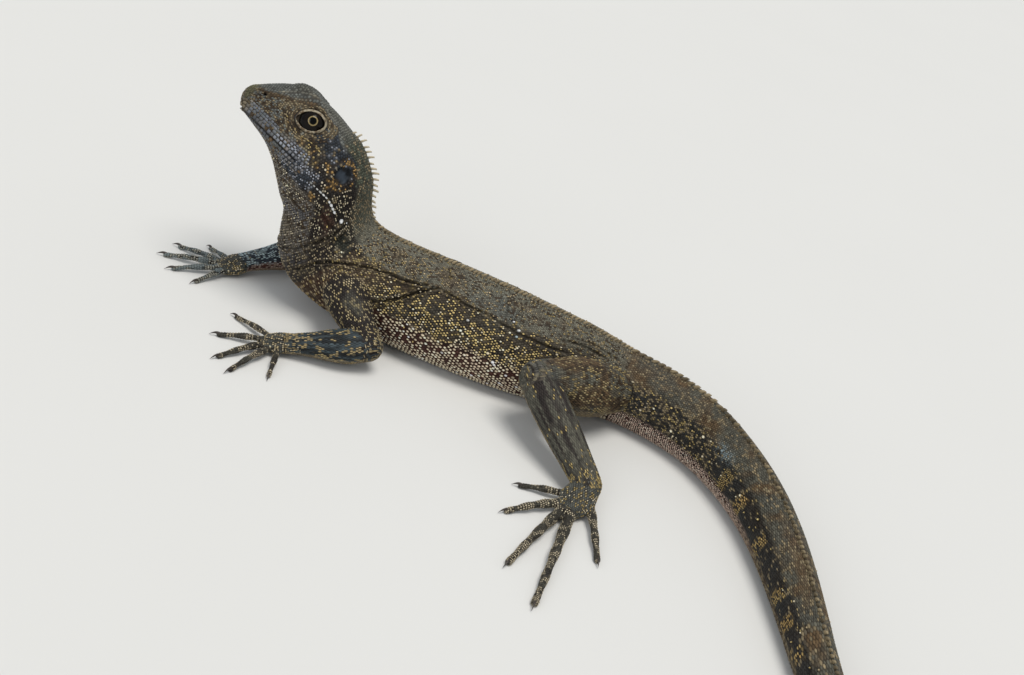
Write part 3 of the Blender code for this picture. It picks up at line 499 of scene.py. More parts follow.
def tube(rings, closed=False):
    """A closed shape round rings of points, bent from a grid: its ends are filled, or meet if closed."""
    rings = np.asarray(rings, float)
    rows, count = rings.shape[:2]
    steps = rows if closed else rows - 1
    bm = bmesh.new()
    bmesh.ops.create_grid(bm, x_segments=steps, y_segments=count, size=1.0)
    for v in bm.verts:
        row, place = round((v.co.x + 1) / 2 * steps), round((v.co.y + 1) / 2 * count)
        v.co = rings[row % rows, place % count]
    bmesh.ops.remove_doubles(bm, verts=bm.verts, dist=1e-4)
    bmesh.ops.holes_fill(bm, edges=[e for e in bm.edges if e.is_boundary])
    face_outwards(bm)
    return bm


def face_outwards(bm):
    bm.normal_update()
    bmesh.ops.recalc_face_normals(bm, faces=bm.faces)


def triangle_arrays(bm):
    """Points and triangles of a closed shape, which is freed."""
    bmesh.ops.triangulate(bm, faces=bm.faces)
    face_outwards(bm)
    bm.verts.index_update()
    points = np.array([v.co for v in bm.verts])
    faces = np.array([[v.index for v in f.verts] for f in bm.faces])
    bm.free()
    return points, faces


def mesh_of(bm, name):
    """A mesh with the shape's faces; the shape is freed."""
    mesh = bpy.data.meshes.new(name)
    bm.to_mesh(mesh)
    bm.free()
    return mesh


def show(name, data):
    """A new object of the scene for a mesh, light or camera."""
    piece = bpy.data.objects.new(name, data)
    bpy.context.scene.collection.objects.link(piece)
    return piece


def oval(centre, heading, across, high, sides):
    """A ring round a heading, with its wide way level, kept above the floor."""
    side = unit(np.cross(heading, (0, 0, 1)))
    rise = np.cross(side, heading)
    turns = np.linspace(0, 2 * math.pi, sides, endpoint=False)
    ring = np.array([centre + math.cos(a) * high * rise + math.sin(a) * across * side for a in turns])
    ring[:, 2] = np.maximum(ring[:, 2], 0.0)
    return ring


def limb_parts(limb):
    """The straight parts of a limb as (start, end, radii)."""
    return ((limb.joint, limb.bend, limb.radii[0]), (limb.bend, limb.wrist, limb.radii[1]),
            (limb.wrist, limb.palm, limb.radii[2]))


def part_rings(start, end, radii, step, sides):
    """Rings of one part of a limb, with a rounded cap past each end."""
    start, end, radii = (np.asarray(a, float) for a in (start, end, radii))
    length = np.linalg.norm(end - start)
    heading = (end - start) / length
    shares = np.linspace(0, 1, max(3, round(length / step)))
    sizes = smooth_through(radii, np.linspace(0, 1, len(radii)), shares)
    rings = [oval(start + heading * length * share, heading, *size, sides)
             for share, size in zip(shares, sizes)]
    for corner, size, way in ((start, sizes[0], -1), (end, sizes[-1], 1)):
        reach = size.min() * 0.95
        for turn in (0.35, 0.65, 0.86, 0.97):
            centre = corner + heading * way * reach * turn
            ring = oval(centre, heading, *(size * math.sqrt(1 - turn ** 2)), sides)
            rings.insert(0 if way < 0 else len(rings), ring)
    return np.array(rings)


def digit_line(digit, count):
    """Centres and radii along a finger or toe, which is arched, and swollen at its joints."""
    root, tip = np.array((*digit.root, 2.7)), np.array((*digit.tip, digit.radius * 0.62))
    length = np.linalg.norm(tip - root)
    shares = np.linspace(0, 1, count)
    centres = root + (tip - root) * shares[:, None]
    centres[:, 2] += np.sin(math.pi * shares) * min(1.0, length / 25)
    joints = 2 if length < 20 else 3 if length < 35 else 4
    swell = 1 + 0.10 * np.cos(2 * math.pi * joints * shares)
    return centres, digit.radius * (1.15 - 0.5 * shares) * swell


def digit_rings(digit, count, sides):
    """Rings of a finger or toe, with a rounded tip."""
    centres, radii = digit_line(digit, count)
    heading = unit(centres[-1] - centres[0])
    rings = [oval(c, heading, r, r * 0.95, sides) for c, r in zip(centres, radii)]
    for turn in (0.5, 0.85):
        small = radii[-1] * math.sqrt(1 - turn ** 2)
        rings.append(oval(centres[-1] + heading * radii[-1] * turn, heading, small, small, sides))
    return np.array(rings)


def join_shapes(shapes, name):
    """One object that holds several closed meshes made in millimetres, brought to metres."""
    whole = bmesh.new()
    for bm in shapes:
        passing = mesh_of(bm, "passing")
        whole.from_mesh(passing)
        bpy.data.meshes.remove(passing)
    bmesh.ops.scale(whole, vec=(MM, MM, MM), verts=whole.verts)
    return show(name, mesh_of(whole, name))


def apply_modifiers(piece):
    """Makes the mesh that the modifiers give the piece's own."""
    graph = bpy.context.evaluated_depsgraph_get()
    result = bpy.data.meshes.new_from_object(piece.evaluated_get(graph))
    piece.modifiers.clear()
    old = piece.data
    piece.data = result
    bpy.data.meshes.remove(old)


def points_of(piece):
    """The piece's points and their normals, in millimetres."""
    mesh = piece.data
    points, normals = (np.empty(len(mesh.vertices) * 3, np.float32) for _ in range(2))
    mesh.vertices.foreach_get("co", points)
    mesh.vertex_normals.foreach_get("vector", normals)
    return points.reshape(-1, 3).astype(float) / MM, normals.reshape(-1, 3).astype(float)


def put_points(piece, points):
    piece.data.vertices.foreach_set("co", (points * MM).astype(np.float32).ravel())
    piece.data.update()


# Skin

def limb_shapes(limb):
    """The closed shapes that fuse into one limb."""
    shapes = [tube(part_rings(*part, 1.0, 32)) for part in limb_parts(limb)]
    shapes += [tube(digit_rings(digit, 40, 14)) for digit in limb.digits]
    return shapes


def soften(skin):
    """Smooths the skin where its shapes run into one another, and leaves it as it is elsewhere."""
    points, _ = points_of(skin)
    weight = np.zeros(len(points))
    for limb in LIMBS:
        for corner, reach in ((limb.joint, 17.0), (limb.bend, 8.5), (limb.wrist, 6.5)):
            away = np.linalg.norm(points - corner, axis=1)
            weight = np.maximum(weight, 1 - ramp(0.55 * reach, reach, away))
        knuckles = np.linalg.norm(points - limb.palm, axis=1)
        weight = np.maximum(weight, 0.5 * (1 - ramp(4.0, 7.0, knuckles)))
    group = skin.vertex_groups.new(name="joins")
    for level in (0.25, 0.5, 0.75, 1.0):
        chosen = np.flatnonzero((weight > level - 0.25) & (weight <= level)).tolist()
        group.add(chosen, level, "REPLACE")
    for where, rounds in ((group.name, 40), ("", 3)):
        smooth = skin.modifiers.new("smooth", "SMOOTH")
        smooth.factor = 0.5
        smooth.iterations = rounds
        smooth.vertex_group = where
    apply_modifiers(skin)
    skin.vertex_groups.clear()


def crease(points, normals, line, width, depth, lip):
    """Presses a crease along a line into the skin, with a raised lip on both sides."""
    middle, half = line.mean(axis=0), np.ptp(line, axis=0) / 2
    near = np.flatnonzero((np.abs(points - middle) < half + 6 * width).all(axis=1))
    away = distance_to_line(points[near], line) / width
    ends = np.min([np.linalg.norm(points[near] - end, axis=1) for end in (line[0], line[-1])], axis=0)
    fade = 0.35 + 0.65 * ramp(0.0, 4.0, ends)
    push = lip * np.exp(-(away - 2.0) ** 2) - depth * np.exp(-away ** 2)
    points[near] += normals[near] * (push * fade)[:, None]


def on_head(tree, side, place):
    """Where a ray from the side meets the head at (h, u), with the surface's own normal there."""
    matrix = head_matrix(side)
    outward = (matrix.to_3x3() @ Vector((0, 1, 0))).normalized()
    level = matrix @ Vector((place[0], 0, place[1]))
    hit, normal, _, _ = tree.ray_cast((level + outward * 40) * MM, -outward)
    if hit is None:
        hit, normal, _, _ = tree.find_nearest((level + outward) * MM)
    return np.array(hit) / MM, np.array(normal)


def mouth_line(tree, rise=0.0, start=MOUTH_START, end=MOUTH_END, count=24):
    """Points on the head along the mouth, from its left corner round the snout to the right one."""
    backs = end - (end - start) * np.sin(np.linspace(0, math.pi / 2, count))
    left, right = ([on_head(tree, side, (h, rise))[0] for h in backs] for side in (-1, 1))
    matrix = head_matrix(1)
    ahead = matrix.to_3x3() @ Vector((-1, 0, 0))
    start_point = (matrix @ Vector((0, 0, rise)) + ahead * 30) * MM
    middle = tree.ray_cast(start_point, -ahead)[0] or tree.find_nearest(start_point)[0]
    return np.array(left + [np.array(middle) / MM] + right[::-1])


def eye_frame(side, looks=EYE_AXIS):
    """The eye's centre, the way it looks, and the ways forward and up across its lids."""
    matrix = head_matrix(side)
    axis = (matrix.to_3x3() @ Vector(looks)).normalized()
    level = matrix.to_3x3() @ Vector((-math.cos(LID_TILT), 0, -math.sin(LID_TILT)))
    ahead = (level - axis * level.dot(axis)).normalized()
    up = axis.cross(ahead).normalized()
    if up.dot(matrix.to_3x3() @ Vector((0, 0, 1))) < 0:
        up = -up
    return tuple(np.array(v) for v in (matrix @ Vector(EYE_CENTRE), axis, ahead, up))


def open_socket(points, side):
    """Sinks the skin under the eyeball inside the lids, and rings it with a shallow groove."""
    centre, axis, ahead, up = eye_frame(side)
    near = np.flatnonzero(np.linalg.norm(points - centre, axis=1) < 12)
    local = points[near] - centre
    before = local @ axis > 0
    way = oval_way(local, ahead, up, LID_SPAN)
    sunk = (1 - ramp(0.92, 1.08, way)) * before
    points[near] += unit(local) * ((EYE_RADIUS - 1.1 - np.linalg.norm(local, axis=1)) * sunk)[:, None]
    groove = np.exp(-((way - 1.30) / 0.07) ** 2) * before
    points[near] -= unit(local) * (0.45 * groove)[:, None]


def side_frame(tree, side, place):
    """A place on the head at (h, u), the ways forward and up across it, and its outward normal."""
    centre, normal = on_head(tree, side, place)
    ahead = np.array(head_matrix(side).to_3x3() @ Vector((-1, 0, 0)))
    ahead = unit(ahead - normal * (ahead @ normal))
    return centre, ahead, np.cross(normal, ahead), normal


def oval_way(local, ahead, up, span):
    """How far out points lie on an oval about the origin, with 1 on its edge."""
    return np.hypot(local @ ahead / span[0], local @ up / span[1])


def sink_oval(points, tree, side, place, span, depth, edge):
    """Presses an oval cup into the head at (h, u), with a raised edge."""
    centre, ahead, up, normal = side_frame(tree, side, place)
    near = np.flatnonzero(np.linalg.norm(points - centre, axis=1) < 3 * max(span))
    way = oval_way(points[near] - centre, ahead, up, span)
    push = edge * np.exp(-((way - 1.25) / 0.2) ** 2) - depth * (1 - ramp(0.75, 1.1, way)) * (1 - 0.25 * way)
    points[near] += normal * push[:, None]


def sculpt(skin, body):
    """Sinks the skin by the coat's depth, then adds folds, mouth, nostrils, ear cups and eye sockets."""
    points, normals = points_of(skin)
    feet = np.min([np.linalg.norm(points - limb.palm, axis=1) for limb in LIMBS], axis=0)
    thin = np.interp(points[:, 2], (0, 3), (0.0, 1.0))
    depth = form().coat_depth / MM * (0.45 + 0.55 * ramp(6, 60, feet)) * thin
    points -= normals * depth[:, None]
    for (at, share), reach, rise in HOLLOWS:
        for side in (-1, 1):
            away = np.linalg.norm(points - body.points(at, share, side)[0], axis=1)
            points += normals * (rise * np.exp(-(away / reach) ** 2 * 2))[:, None]
    put_points(skin, points)
    points, normals = points_of(skin)
    tree = BVHTree.FromObject(skin, bpy.context.evaluated_depsgraph_get())
    for fold in FOLDS:
        for side in (-1, 1):
            line = np.array([np.array(tree.find_nearest(Vector(p * MM))[0]) / MM
                             for p in body.line(fold.line, side)])
            scale = form().fold_depth
            crease(points, normals, line, fold.width, fold.depth * scale, fold.lip * scale)
    crease(points, normals, mouth_line(tree), 0.42, 0.85, 0.32)
    for side in (-1, 1):
        sink_oval(points, tree, side, EAR_PLACE, EAR_SPAN, 1.3, 0.35)
        sink_oval(points, tree, side, NOSTRIL_PLACE, NOSTRIL_SPAN, 1.6, 0.35)
        open_socket(points, side)
    points[:, 2] = np.maximum(points[:, 2], 0.02)
    put_points(skin, points)


def build_skin():
    """One closed skin from the body, the limbs and their digits, fused, smoothed and sculpted."""
    body = Body()
    at = np.concatenate([np.arange(-SNOUT_LEAD, 70, 0.8), np.arange(70, body.end - 3, 1.3),
                         [body.end - 1.5, body.end]])
    shapes = [tube(body.rings(at))]
    for limb in LIMBS:
        shapes += limb_shapes(limb)
    skin = join_shapes(shapes, "skin")
    fuse = skin.modifiers.new("fuse", "REMESH")
    fuse.mode = "VOXEL"
    fuse.voxel_size = form().voxel
    apply_modifiers(skin)
    soften(skin)
    sculpt(skin, body)
    thin = skin.modifiers.new("thin", "DECIMATE")
    faces = sum(len(p.vertices) - 2 for p in skin.data.polygons)
    thin.ratio = min(1.0, form().skin_faces / faces)
    thin.use_collapse_triangulate = True
    apply_modifiers(skin)
    skin.data.shade_smooth()
    return skin


# Scales

# A set of scales as arrays, one row a scale.
Bed = namedtuple("Bed", "place out lie size rise kind at share side region unwrap")
KINDS = ("keeled", "granule", "plate")


def joined_beds(beds):
    return Bed(*(np.concatenate(column) for column in zip(*beds)))


def chosen(bed, rows):
    return Bed(*(column[rows] for column in bed))


class Surface:
    """The finished skin, read as the nearest point to a place."""

    def __init__(self, skin):
        mesh = skin.data
        mesh.calc_loop_triangles()
        self.points, self.normals = points_of(skin)
        self.corners = np.empty(len(mesh.loop_triangles) * 3, np.int32)
        mesh.loop_triangles.foreach_get("vertices", self.corners)
        self.corners = self.corners.reshape(-1, 3)
        self.tree = BVHTree.FromPolygons(self.points.tolist(), self.corners.tolist())
        self.smooth = unit(self.normals[self.corners].sum(axis=1))

    def metres(self):
        """The skin in metres, for the places that are found on the head by a ray."""
        return BVHTree.FromPolygons((self.points * MM).tolist(), self.corners.tolist())

    def settle(self, places, reach):
        """For each place the nearest point of the skin, its normal, and whether it is within reach."""
        spots, outs, near = [], [], []
        for place in places:
            spot, _, face, away = self.tree.find_nearest(Vector(place))
            spots.append(spot)
            outs.append(self.smooth[face])
            near.append(away)
        return np.array(spots), np.array(outs), np.array(near) < reach


def settled(surface, places, lies, sizes, rise, kind, at, share, side, region, unwrap, reach=2.2):
    """A bed of scales dropped onto the skin, without those that land too far off."""
    spots, outs, near = surface.settle(places, reach)
    lies = unit(lies - outs * np.sum(lies * outs, axis=1, keepdims=True))
    full = np.ones(len(spots))
    bed = Bed(spots, outs, lies, sizes, full * rise, np.full(len(spots), kind), full * at, full * share,
              full * side, np.full(len(spots), region), unwrap)
    return chosen(bed, near)


Strip = namedtuple("Strip", "region first last low high along across stretch kind rise")


def body_strips(body):
    """The body's stretches of like scales, between two lengths and two shares of the way round."""
    back, flank, belly, throat = pitch("back"), pitch("flank"), pitch("belly"), pitch("throat")
    crown, head, tail = pitch("crown"), pitch("head"), pitch("tail")
    vent, end = body.vent, body.end
    return (
        Strip("head", -1, 50, 0.0, 0.22, crown, crown, 1.1, "granule", 0.17),
        Strip("head", -1, 50, 0.22, 0.60, head, head * 0.92, 1.2, "keeled", 0.30),
        Strip("head", 5, 50, 0.60, 1.0, throat, throat * 0.9, 1.1, "granule", 0.32),
        Strip("neck", 50, 76, 0.0, 0.26, back, back * 0.95, 1.2, "keeled", 0.32),
        Strip("neck", 50, 76, 0.26, 0.54, flank * 0.92, flank * 0.9, 1.15, "keeled", 0.34),
        Strip("neck", 50, 76, 0.54, 1.0, throat, throat * 0.9, 1.1, "granule", 0.36),
        Strip("trunk", 76, vent, 0.0, 0.25, back, back * 0.95, 1.25, "keeled", 0.30),
        Strip("trunk", 76, vent, 0.25, 0.50, flank, flank * 0.95, 1.3, "keeled", 0.32),
        Strip("trunk", 76, vent, 0.50, 1.0, belly, belly * 0.9, 1.35, "keeled", 0.34),
        Strip("tail", vent, vent + 70, 0.0, 1.0, tail * 0.70, tail * 0.56, 1.1, "keeled", 0.34),
        Strip("tail", vent + 70, vent + 150, 0.0, 1.0, tail * 0.95, tail * 0.56, 1.3, "keeled", 0.36),
        Strip("tail", vent + 150, vent + 260, 0.0, 1.0, tail * 1.2, tail * 0.58, 1.35, "keeled", 0.36),
        Strip("tail", vent + 260, end - 2, 0.0, 1.0, tail * 1.25, tail * 0.5, 1.35, "keeled", 0.30),
    )


def strip_bed(surface, body, strip, random):
    """Rows of scales across one strip, each row shifted half a scale from the last."""
    rows = np.arange(strip.first + strip.along / 2, strip.last, strip.along)
    girth = np.linalg.norm(np.diff(body.rings(rows[::8]), axis=1), axis=2).sum(axis=1).mean() / 2
    span = strip.high - strip.low
    count = max(4, round(girth * span / strip.across))
    row, column, side = (a.ravel() for a in np.meshgrid(np.arange(len(rows)), np.arange(count), (-1, 1),
                                                        indexing="ij"))
    at = rows[row] + random.normal(0, 0.09, len(row)) * strip.along
    share = strip.low + span * (column + 0.25 + 0.5 * (row % 2) + random.normal(0, 0.09, len(row))) / count
    share = np.clip(share, 0.004, 0.996)
    places = body.points(at, share, side)
    lies = body.points(np.minimum(at + 0.6, body.end), share, side) - body.points(at - 0.6, share, side)
    widths = np.linalg.norm(body.points(at, share + 0.01, side) - places, axis=1) / 0.01 * span / count
    vary = 1 + random.normal(0, 0.12, (len(row), 1))
    sizes = np.column_stack([np.full(len(row), strip.along * strip.stretch), widths]) * vary
    return settled(surface, places, lies, sizes, strip.rise, strip.kind, at, share, side, strip.region,
                   body.unwrap(at, share, side))


# How the scales lie on a limb's upper part, lower part and foot: share of the pitch, stretch and rise.
LIMB_COAT = ((1.0, 1.4, 0.34), (1.0, 1.75, 0.30), (0.85, 1.3, 0.26))


def limb_bed(surface, limb, random):
    """Rings of keeled scales down a limb and its foot, and small ones along each finger or toe."""
    beds = []
    scale = pitch("limb") * (1.0 if limb.name.endswith("hind") else 0.95)
    for number, (part, (share, stretch, rise)) in enumerate(zip(limb_parts(limb), LIMB_COAT)):
        step = scale * share
        beds.append(ring_bed(surface, part_rings(*part, step, 64), step, stretch, rise, number, limb.name,
                             (number / 3, 0.0, 1 / 3, 0.5), random, 1.7))
    for number, digit in enumerate(limb.digits):
        rings = digit_rings(digit, max(6, round(math.dist(digit.root, digit.tip) / pitch("toe"))), 32)
        beds.append(ring_bed(surface, rings, pitch("toe"), 1.2, 0.26, 3 + number, limb.name,
                             (0.0, 0.5 + number / 10, 1.0, 0.1), random, 0.9))
    return joined_beds(beds)


def ring_bed(surface, rings, step, stretch, rise, number, region, patch, random, reach):
    """Scales set round rings, with the ring's own count of points read at even shares of the way round."""
    sides = rings.shape[1]
    girth = np.linalg.norm(np.diff(rings, axis=1), axis=2).sum(axis=1)
    count = max(6, round(np.median(girth) / (step * 0.80)))
    row, column = (a.ravel() for a in np.meshgrid(np.arange(len(rings)), np.arange(count), indexing="ij"))
    turn = ((column + 0.5 * (row % 2) + random.normal(0, 0.06, len(row))) / count) % 1.0
    place = turn * sides
    low = np.floor(place).astype(int)
    f = (place - low)[:, None]
    places = (1 - f) * rings[row, low % sides] + f * rings[row, (low + 1) % sides]
    centres = rings.mean(axis=1)
    lies = np.gradient(centres, axis=0)[row]
    widths = girth[row] / count
    lengths = np.maximum(0.6, np.linalg.norm(np.gradient(centres, axis=0), axis=1))[row] * stretch
    sizes = np.column_stack([lengths, widths]) * (1 + random.normal(0, 0.07, (len(row), 1)))
    along = row / max(1, len(rings) - 1)
    unwrap = np.column_stack([patch[0] + along * patch[2], patch[1] + turn * patch[3]])
    return settled(surface, places, lies, sizes, rise, "keeled", number + along * 0.999, turn, 0, region,
                   unwrap, reach)


# Rows of lip shields: place above the mouth, height, length, rise, and how far back they start.
LIP_ROWS = ((0.95, 1.5, 1.65, 0.34, 0.0), (2.35, 1.25, 1.9, 0.30, 1.0), (3.5, 1.05, 1.7, 0.28, 3.0),
            (4.5, 0.95, 1.5, 0.26, 6.0), (-0.85, 1.4, 1.75, 0.34, 0.0), (-2.1, 1.15, 1.8, 0.30, 4.0),
            (-3.2, 1.0, 1.7, 0.28, 12.0))


def lip_beds(surface):
    """Rows of shields along both lips, from one corner of the mouth round the snout to the other."""
    beds = []
    tree = surface.metres()
    for rise, high, long, proud, first in LIP_ROWS:
        line = mouth_line(tree, rise, MOUTH_START + first, MOUTH_END + 3.5 - abs(rise) * 0.4, 40)
        length = run_along(line)
        whole = length[-1]
        count = round(whole / long)
        where = (np.arange(count) + 0.5) / count * whole
        side = np.where(where < whole / 2, -1.0, 1.0)
        ways = read_along(where, length, np.gradient(line, axis=0)) * side[:, None]
        fade = 0.75 + 0.25 * ramp(0, 0.25, np.minimum(where, whole - where) / whole)
        sizes = np.tile((whole / count * 0.98, high * 0.98), (count, 1)) * fade[:, None]
        beds.append(settled(surface, read_along(where, length, line), ways, sizes, proud, "plate",
                            np.abs(where - whole / 2), 0.5 - rise / 20, side, "lips",
                            np.zeros((count, 2)), 1.5))
    return joined_beds(beds)


def read_along(where, length, table):
    """Reads the columns of a table at places along a length."""
    return np.column_stack([np.interp(where, length, column) for column in table.T])


# Feature rows of the head and neck along (at, share) lines: region name, line, pitch, size and rise.
Row = namedtuple("Row", "region line step long wide rise")
FEATURE_ROWS = (
    Row("streak", ((43.0, 0.565), (47, 0.52), (50.5, 0.468)), 1.6, 1.9, 1.15, 0.55),
    Row("streak", ((51.5, 0.455), (54.0, 0.42), (57.4, 0.378)), 1.75, 2.3, 1.9, 0.80),
    Row("cheek", ((17, 0.48), (22, 0.495), (27, 0.48), (31, 0.44), (35, 0.42)), 1.4, 1.7, 0.75, 0.42),
    Row("brow", ((9, 0.26), (13, 0.255), (17, 0.235), (22, 0.205), (26, 0.18), (31, 0.19)),
        1.5, 1.8, 1.1, 0.42),
)

# Tubercles that stand out, the same on both sides: length along the body, share round it, size and colour.
SPOTS = (
    (62.0, 0.31, 3.0, "chalk"), (65.0, 0.27, 1.5, "cream"), (58.0, 0.50, 1.3, "cream"),
    (61.0, 0.48, 1.3, "cream"), (134.9, 0.33, 2.1, "chalk"), (154.9, 0.27, 2.3, "chalk"),
    (154.9, 0.31, 1.9, "ice"), (151.9, 0.23, 1.6, "chalk"), (133.9, 0.40, 2.0, "cream"),
    (133.9, 0.46, 1.8, "cream"), (132.9, 0.50, 2.0, "cream"), (146.9, 0.46, 2.2, "cream"),
    (149.9, 0.50, 2.3, "chalk"), (114.9, 0.35, 1.7, "cream"), (115.9, 0.44, 1.7, "cream"),
    (116.9, 0.52, 1.8, "cream"), (123.9, 0.35, 1.4, "cream"), (144.9, 0.27, 1.7, "cream"),
    (178.9, 0.29, 2.0, "cream"), (211.9, 0.50, 1.8, "cream"), (224.9, 0.33, 1.7, "gold"),
    (229.9, 0.52, 2.1, "cream"), (244.9, 0.35, 2.2, "cream"), (249.8, 0.50, 1.9, "cream"),
    (256.0, 0.30, 2.0, "ice"), (277.8, 0.42, 2.1, "cream"), (294.0, 0.36, 1.6, "gold"),
)


def feature_beds(surface, body, random):
    """The rows of the head and neck that stand out by size or colour, on both sides."""
    beds = []
    for row in FEATURE_ROWS:
        line = np.asarray(row.line, float)
        for side in (-1, 1):
            length = run_along(body.points(line[:, 0], line[:, 1], side))
            where = np.arange(row.step / 2, length[-1] + 0.01, row.step)
            at, share = read_along(where, length, line).T
            points = body.points(at, share, side)
            vary = 1 + random.normal(0, 0.08, (len(where), 1))
            beds.append(settled(surface, points, np.gradient(points, axis=0),
                                np.tile((row.long, row.wide), (len(where), 1)) * vary, row.rise, "keeled",
                                at, share, side, row.region, body.unwrap(at, share, side)))
    return joined_beds(beds)


def round_beds(surface, random):
    """Rings of scales round ears and eyes; an eye's outer ones lie only below and in front of it."""
    beds = []
    tree = surface.metres()
    for side in (-1, 1):
        ear, ahead, up, normal = side_frame(tree, side, EAR_PLACE)
        eye, axis, *ways = eye_frame(side)
        for reach in (1.22, 1.52):
            beds.append(ring_of_scales(surface, ear + normal * 0.4, (ahead, up * -side), EAR_SPAN, reach,
                                       "ear", (1.1, 0.85), -ahead, random))
        for reach in (1.36, 1.58, 1.80, 2.02):
            bed = ring_of_scales(surface, eye + axis * 2.5, ways, LID_SPAN, reach, "orbit", (1.3, 0.66),
                                 None, random)
            beds.append(chosen(bed, (reach < 1.7) | (np.sin(bed.at) < 0.2)))
    return joined_beds(beds)


def ring_of_scales(surface, centre, ways, span, reach, region, size, lie, random):
    """One ring of scales on an oval, lying along the ring or partly outwards and one way."""
    count = round(math.pi * (span[0] + span[1]) * reach / (size[0] * 0.95))
    turns = np.linspace(0, 2 * math.pi, count, endpoint=False) + random.normal(0, 0.02, count)
    c, s = np.cos(turns)[:, None], np.sin(turns)[:, None]
    outs = c * ways[0] * span[0] + s * ways[1] * span[1]
    along = np.where(s > 0, -1, 1) * (c * ways[1] * span[1] - s * ways[0] * span[0])
    sizes = np.tile(size, (count, 1)) * random.uniform(0.8, 1.15, (count, 1))
    lies = along if lie is None else outs * 0.6 + lie
    return settled(surface, centre + outs * reach, lies, sizes, 0.36, "keeled", turns, reach, 0, region,
                   np.zeros((count, 2)), 4.5)


# Bands of scattered tubercles: lengths, shares, how many on each side, and their size.
SCATTER = ((82, 190, 0.27, 0.60, 34, 1.5), (50, 78, 0.27, 0.55, 10, 1.3), (196, 300, 0.30, 0.60, 18, 1.5),
           (80, 196, 0.06, 0.26, 34, 1.4), (300, 420, 0.15, 0.50, 18, 1.3))
SCATTER_STEP = 7.5


def tubercle_bed(surface, body, random):
    """The large pale scales named in SPOTS, and smaller ones scattered in loose rows between them."""
    beds = []
    for side in (-1, 1):
        for at, share, size, colour in SPOTS:
            beds.append(tubercles(surface, body, [at], [share], side, [size], colour))
        for first, last, low, high, count, size in SCATTER:
            rows = np.round(random.uniform(first, last, count) / SCATTER_STEP) * SCATTER_STEP
            at = np.clip(rows + random.normal(0, 1.1, count), first, last)
            beds.append(tubercles(surface, body, at, random.uniform(low, high, count), side,
                                  size * random.uniform(0.75, 1.15, count), "tubercle"))
    return joined_beds(beds)


def tubercles(surface, body, at, share, side, size, region):
    """Raised scales at places on one side of the body."""
    at, share, size = (np.asarray(a, float) for a in (at, share, size))
    lies = body.points(at + 0.6, share, side) - body.points(at - 0.6, share, side)
    return settled(surface, body.points(at, share, side), lies, np.column_stack([size, size * 0.82]), 0.75,
                   "keeled", at, share, side, region, body.unwrap(at, share, side))


class Cells:
    """Places sorted into cells, to find what lies close to a new one."""

    def __init__(self, side=2.6):
        self.side, self.cells = side, {}

    def key(self, place):
        return tuple((place // self.side).astype(int).tolist())

    def add(self, place, item):
        self.cells.setdefault(self.key(place), []).append(item)

    def near(self, place):
        x, y, z = self.key(place)
        for key in product((x - 1, x, x + 1), (y - 1, y, y + 1), (z - 1, z, z + 1)):
            yield from self.cells.get(key, ())


def thinned(bed, closeness=0.60):
    """Drops every scale that crowds one placed before it, and returns the kept rows and their cells."""
    cells, kept = Cells(), []
    reach = bed.size.min(axis=1) * 1.1
    for row, (place, out, own) in enumerate(zip(bed.place, bed.out, reach)):
        for other in cells.near(place):
            gap = bed.place[other] - place
            limit = closeness * (own + reach[other]) / 2
            if gap @ gap < limit * limit and bed.out[other] @ out > 0.2:
                break
        else:
            cells.add(place, row)
            kept.append(row)
    return kept, cells


def fill_bare(surface, bed, kept, cells, random, tries=90000):
    """Adds small scales where the rows left the skin bare, each taking its looks from its neighbour."""
    a, b, c = (surface.points[surface.corners[:, i]] for i in range(3))
    area = np.linalg.norm(np.cross(b - a, c - a), axis=1)
    faces = random.choice(len(area), tries, p=area / area.sum())
    f, g = random.random((2, tries, 1))
    flip = f + g > 1
    f, g = np.where(flip, 1 - f, f), np.where(flip, 1 - g, g)
    places = a[faces] + f * (b[faces] - a[faces]) + g * (c[faces] - a[faces])
    count = len(bed.place)
    spots, reaches, models, outs = list(bed.place), list(bed.size.min(axis=1) * 1.1), list(range(count)), []
    for place, out in zip(places, surface.smooth[faces]):
        gaps = ((np.linalg.norm(spots[i] - place) / reaches[i], models[i]) for i in cells.near(place))
        nearest, model = min(gaps, default=(0, None))
        if nearest < 0.92:
            continue
        cells.add(place, len(spots))
        spots.append(place)
        models.append(model)
        outs.append(out)
        reaches.append(min(1.1, reaches[model]) * 0.9)
    extra = chosen(bed, models[count:])
    out = np.array(outs)
    lie = unit(extra.lie - out * np.sum(extra.lie * out, axis=1, keepdims=True))
    extra = extra._replace(place=np.array(spots[count:]), out=out, lie=lie, rise=extra.rise * 0.8,
                           size=np.minimum(extra.size, 1.3) * 0.9)
    return joined_beds([chosen(bed, kept), extra])


def drop_covered(bed, surface):
    """Leaves out the scales that would lie over an eye, in an ear cup or in a nostril."""
    covered = np.zeros(len(bed.place), bool)
    tree = surface.metres()
    for side in (-1, 1):
        eye, axis, *eye_ways = eye_frame(side)
        ear, *ear_ways = side_frame(tree, side, EAR_PLACE)[:3]
        nostril = on_head(tree, side, NOSTRIL_PLACE)[0]
        holes = ((eye, eye_ways, LID_SPAN, 1.21, 9), (ear, ear_ways, EAR_SPAN, 1.0, 6),
                 (nostril, ear_ways, NOSTRIL_SPAN, 1.0, 3))
        for centre, ways, span, edge, reach in holes:
            local = bed.place - centre
            near = (np.linalg.norm(local, axis=1) < reach) & (local @ axis > -2.5)
            covered |= near & (oval_way(local, *ways, span) < edge)
    return chosen(bed, ~covered)


# Colours

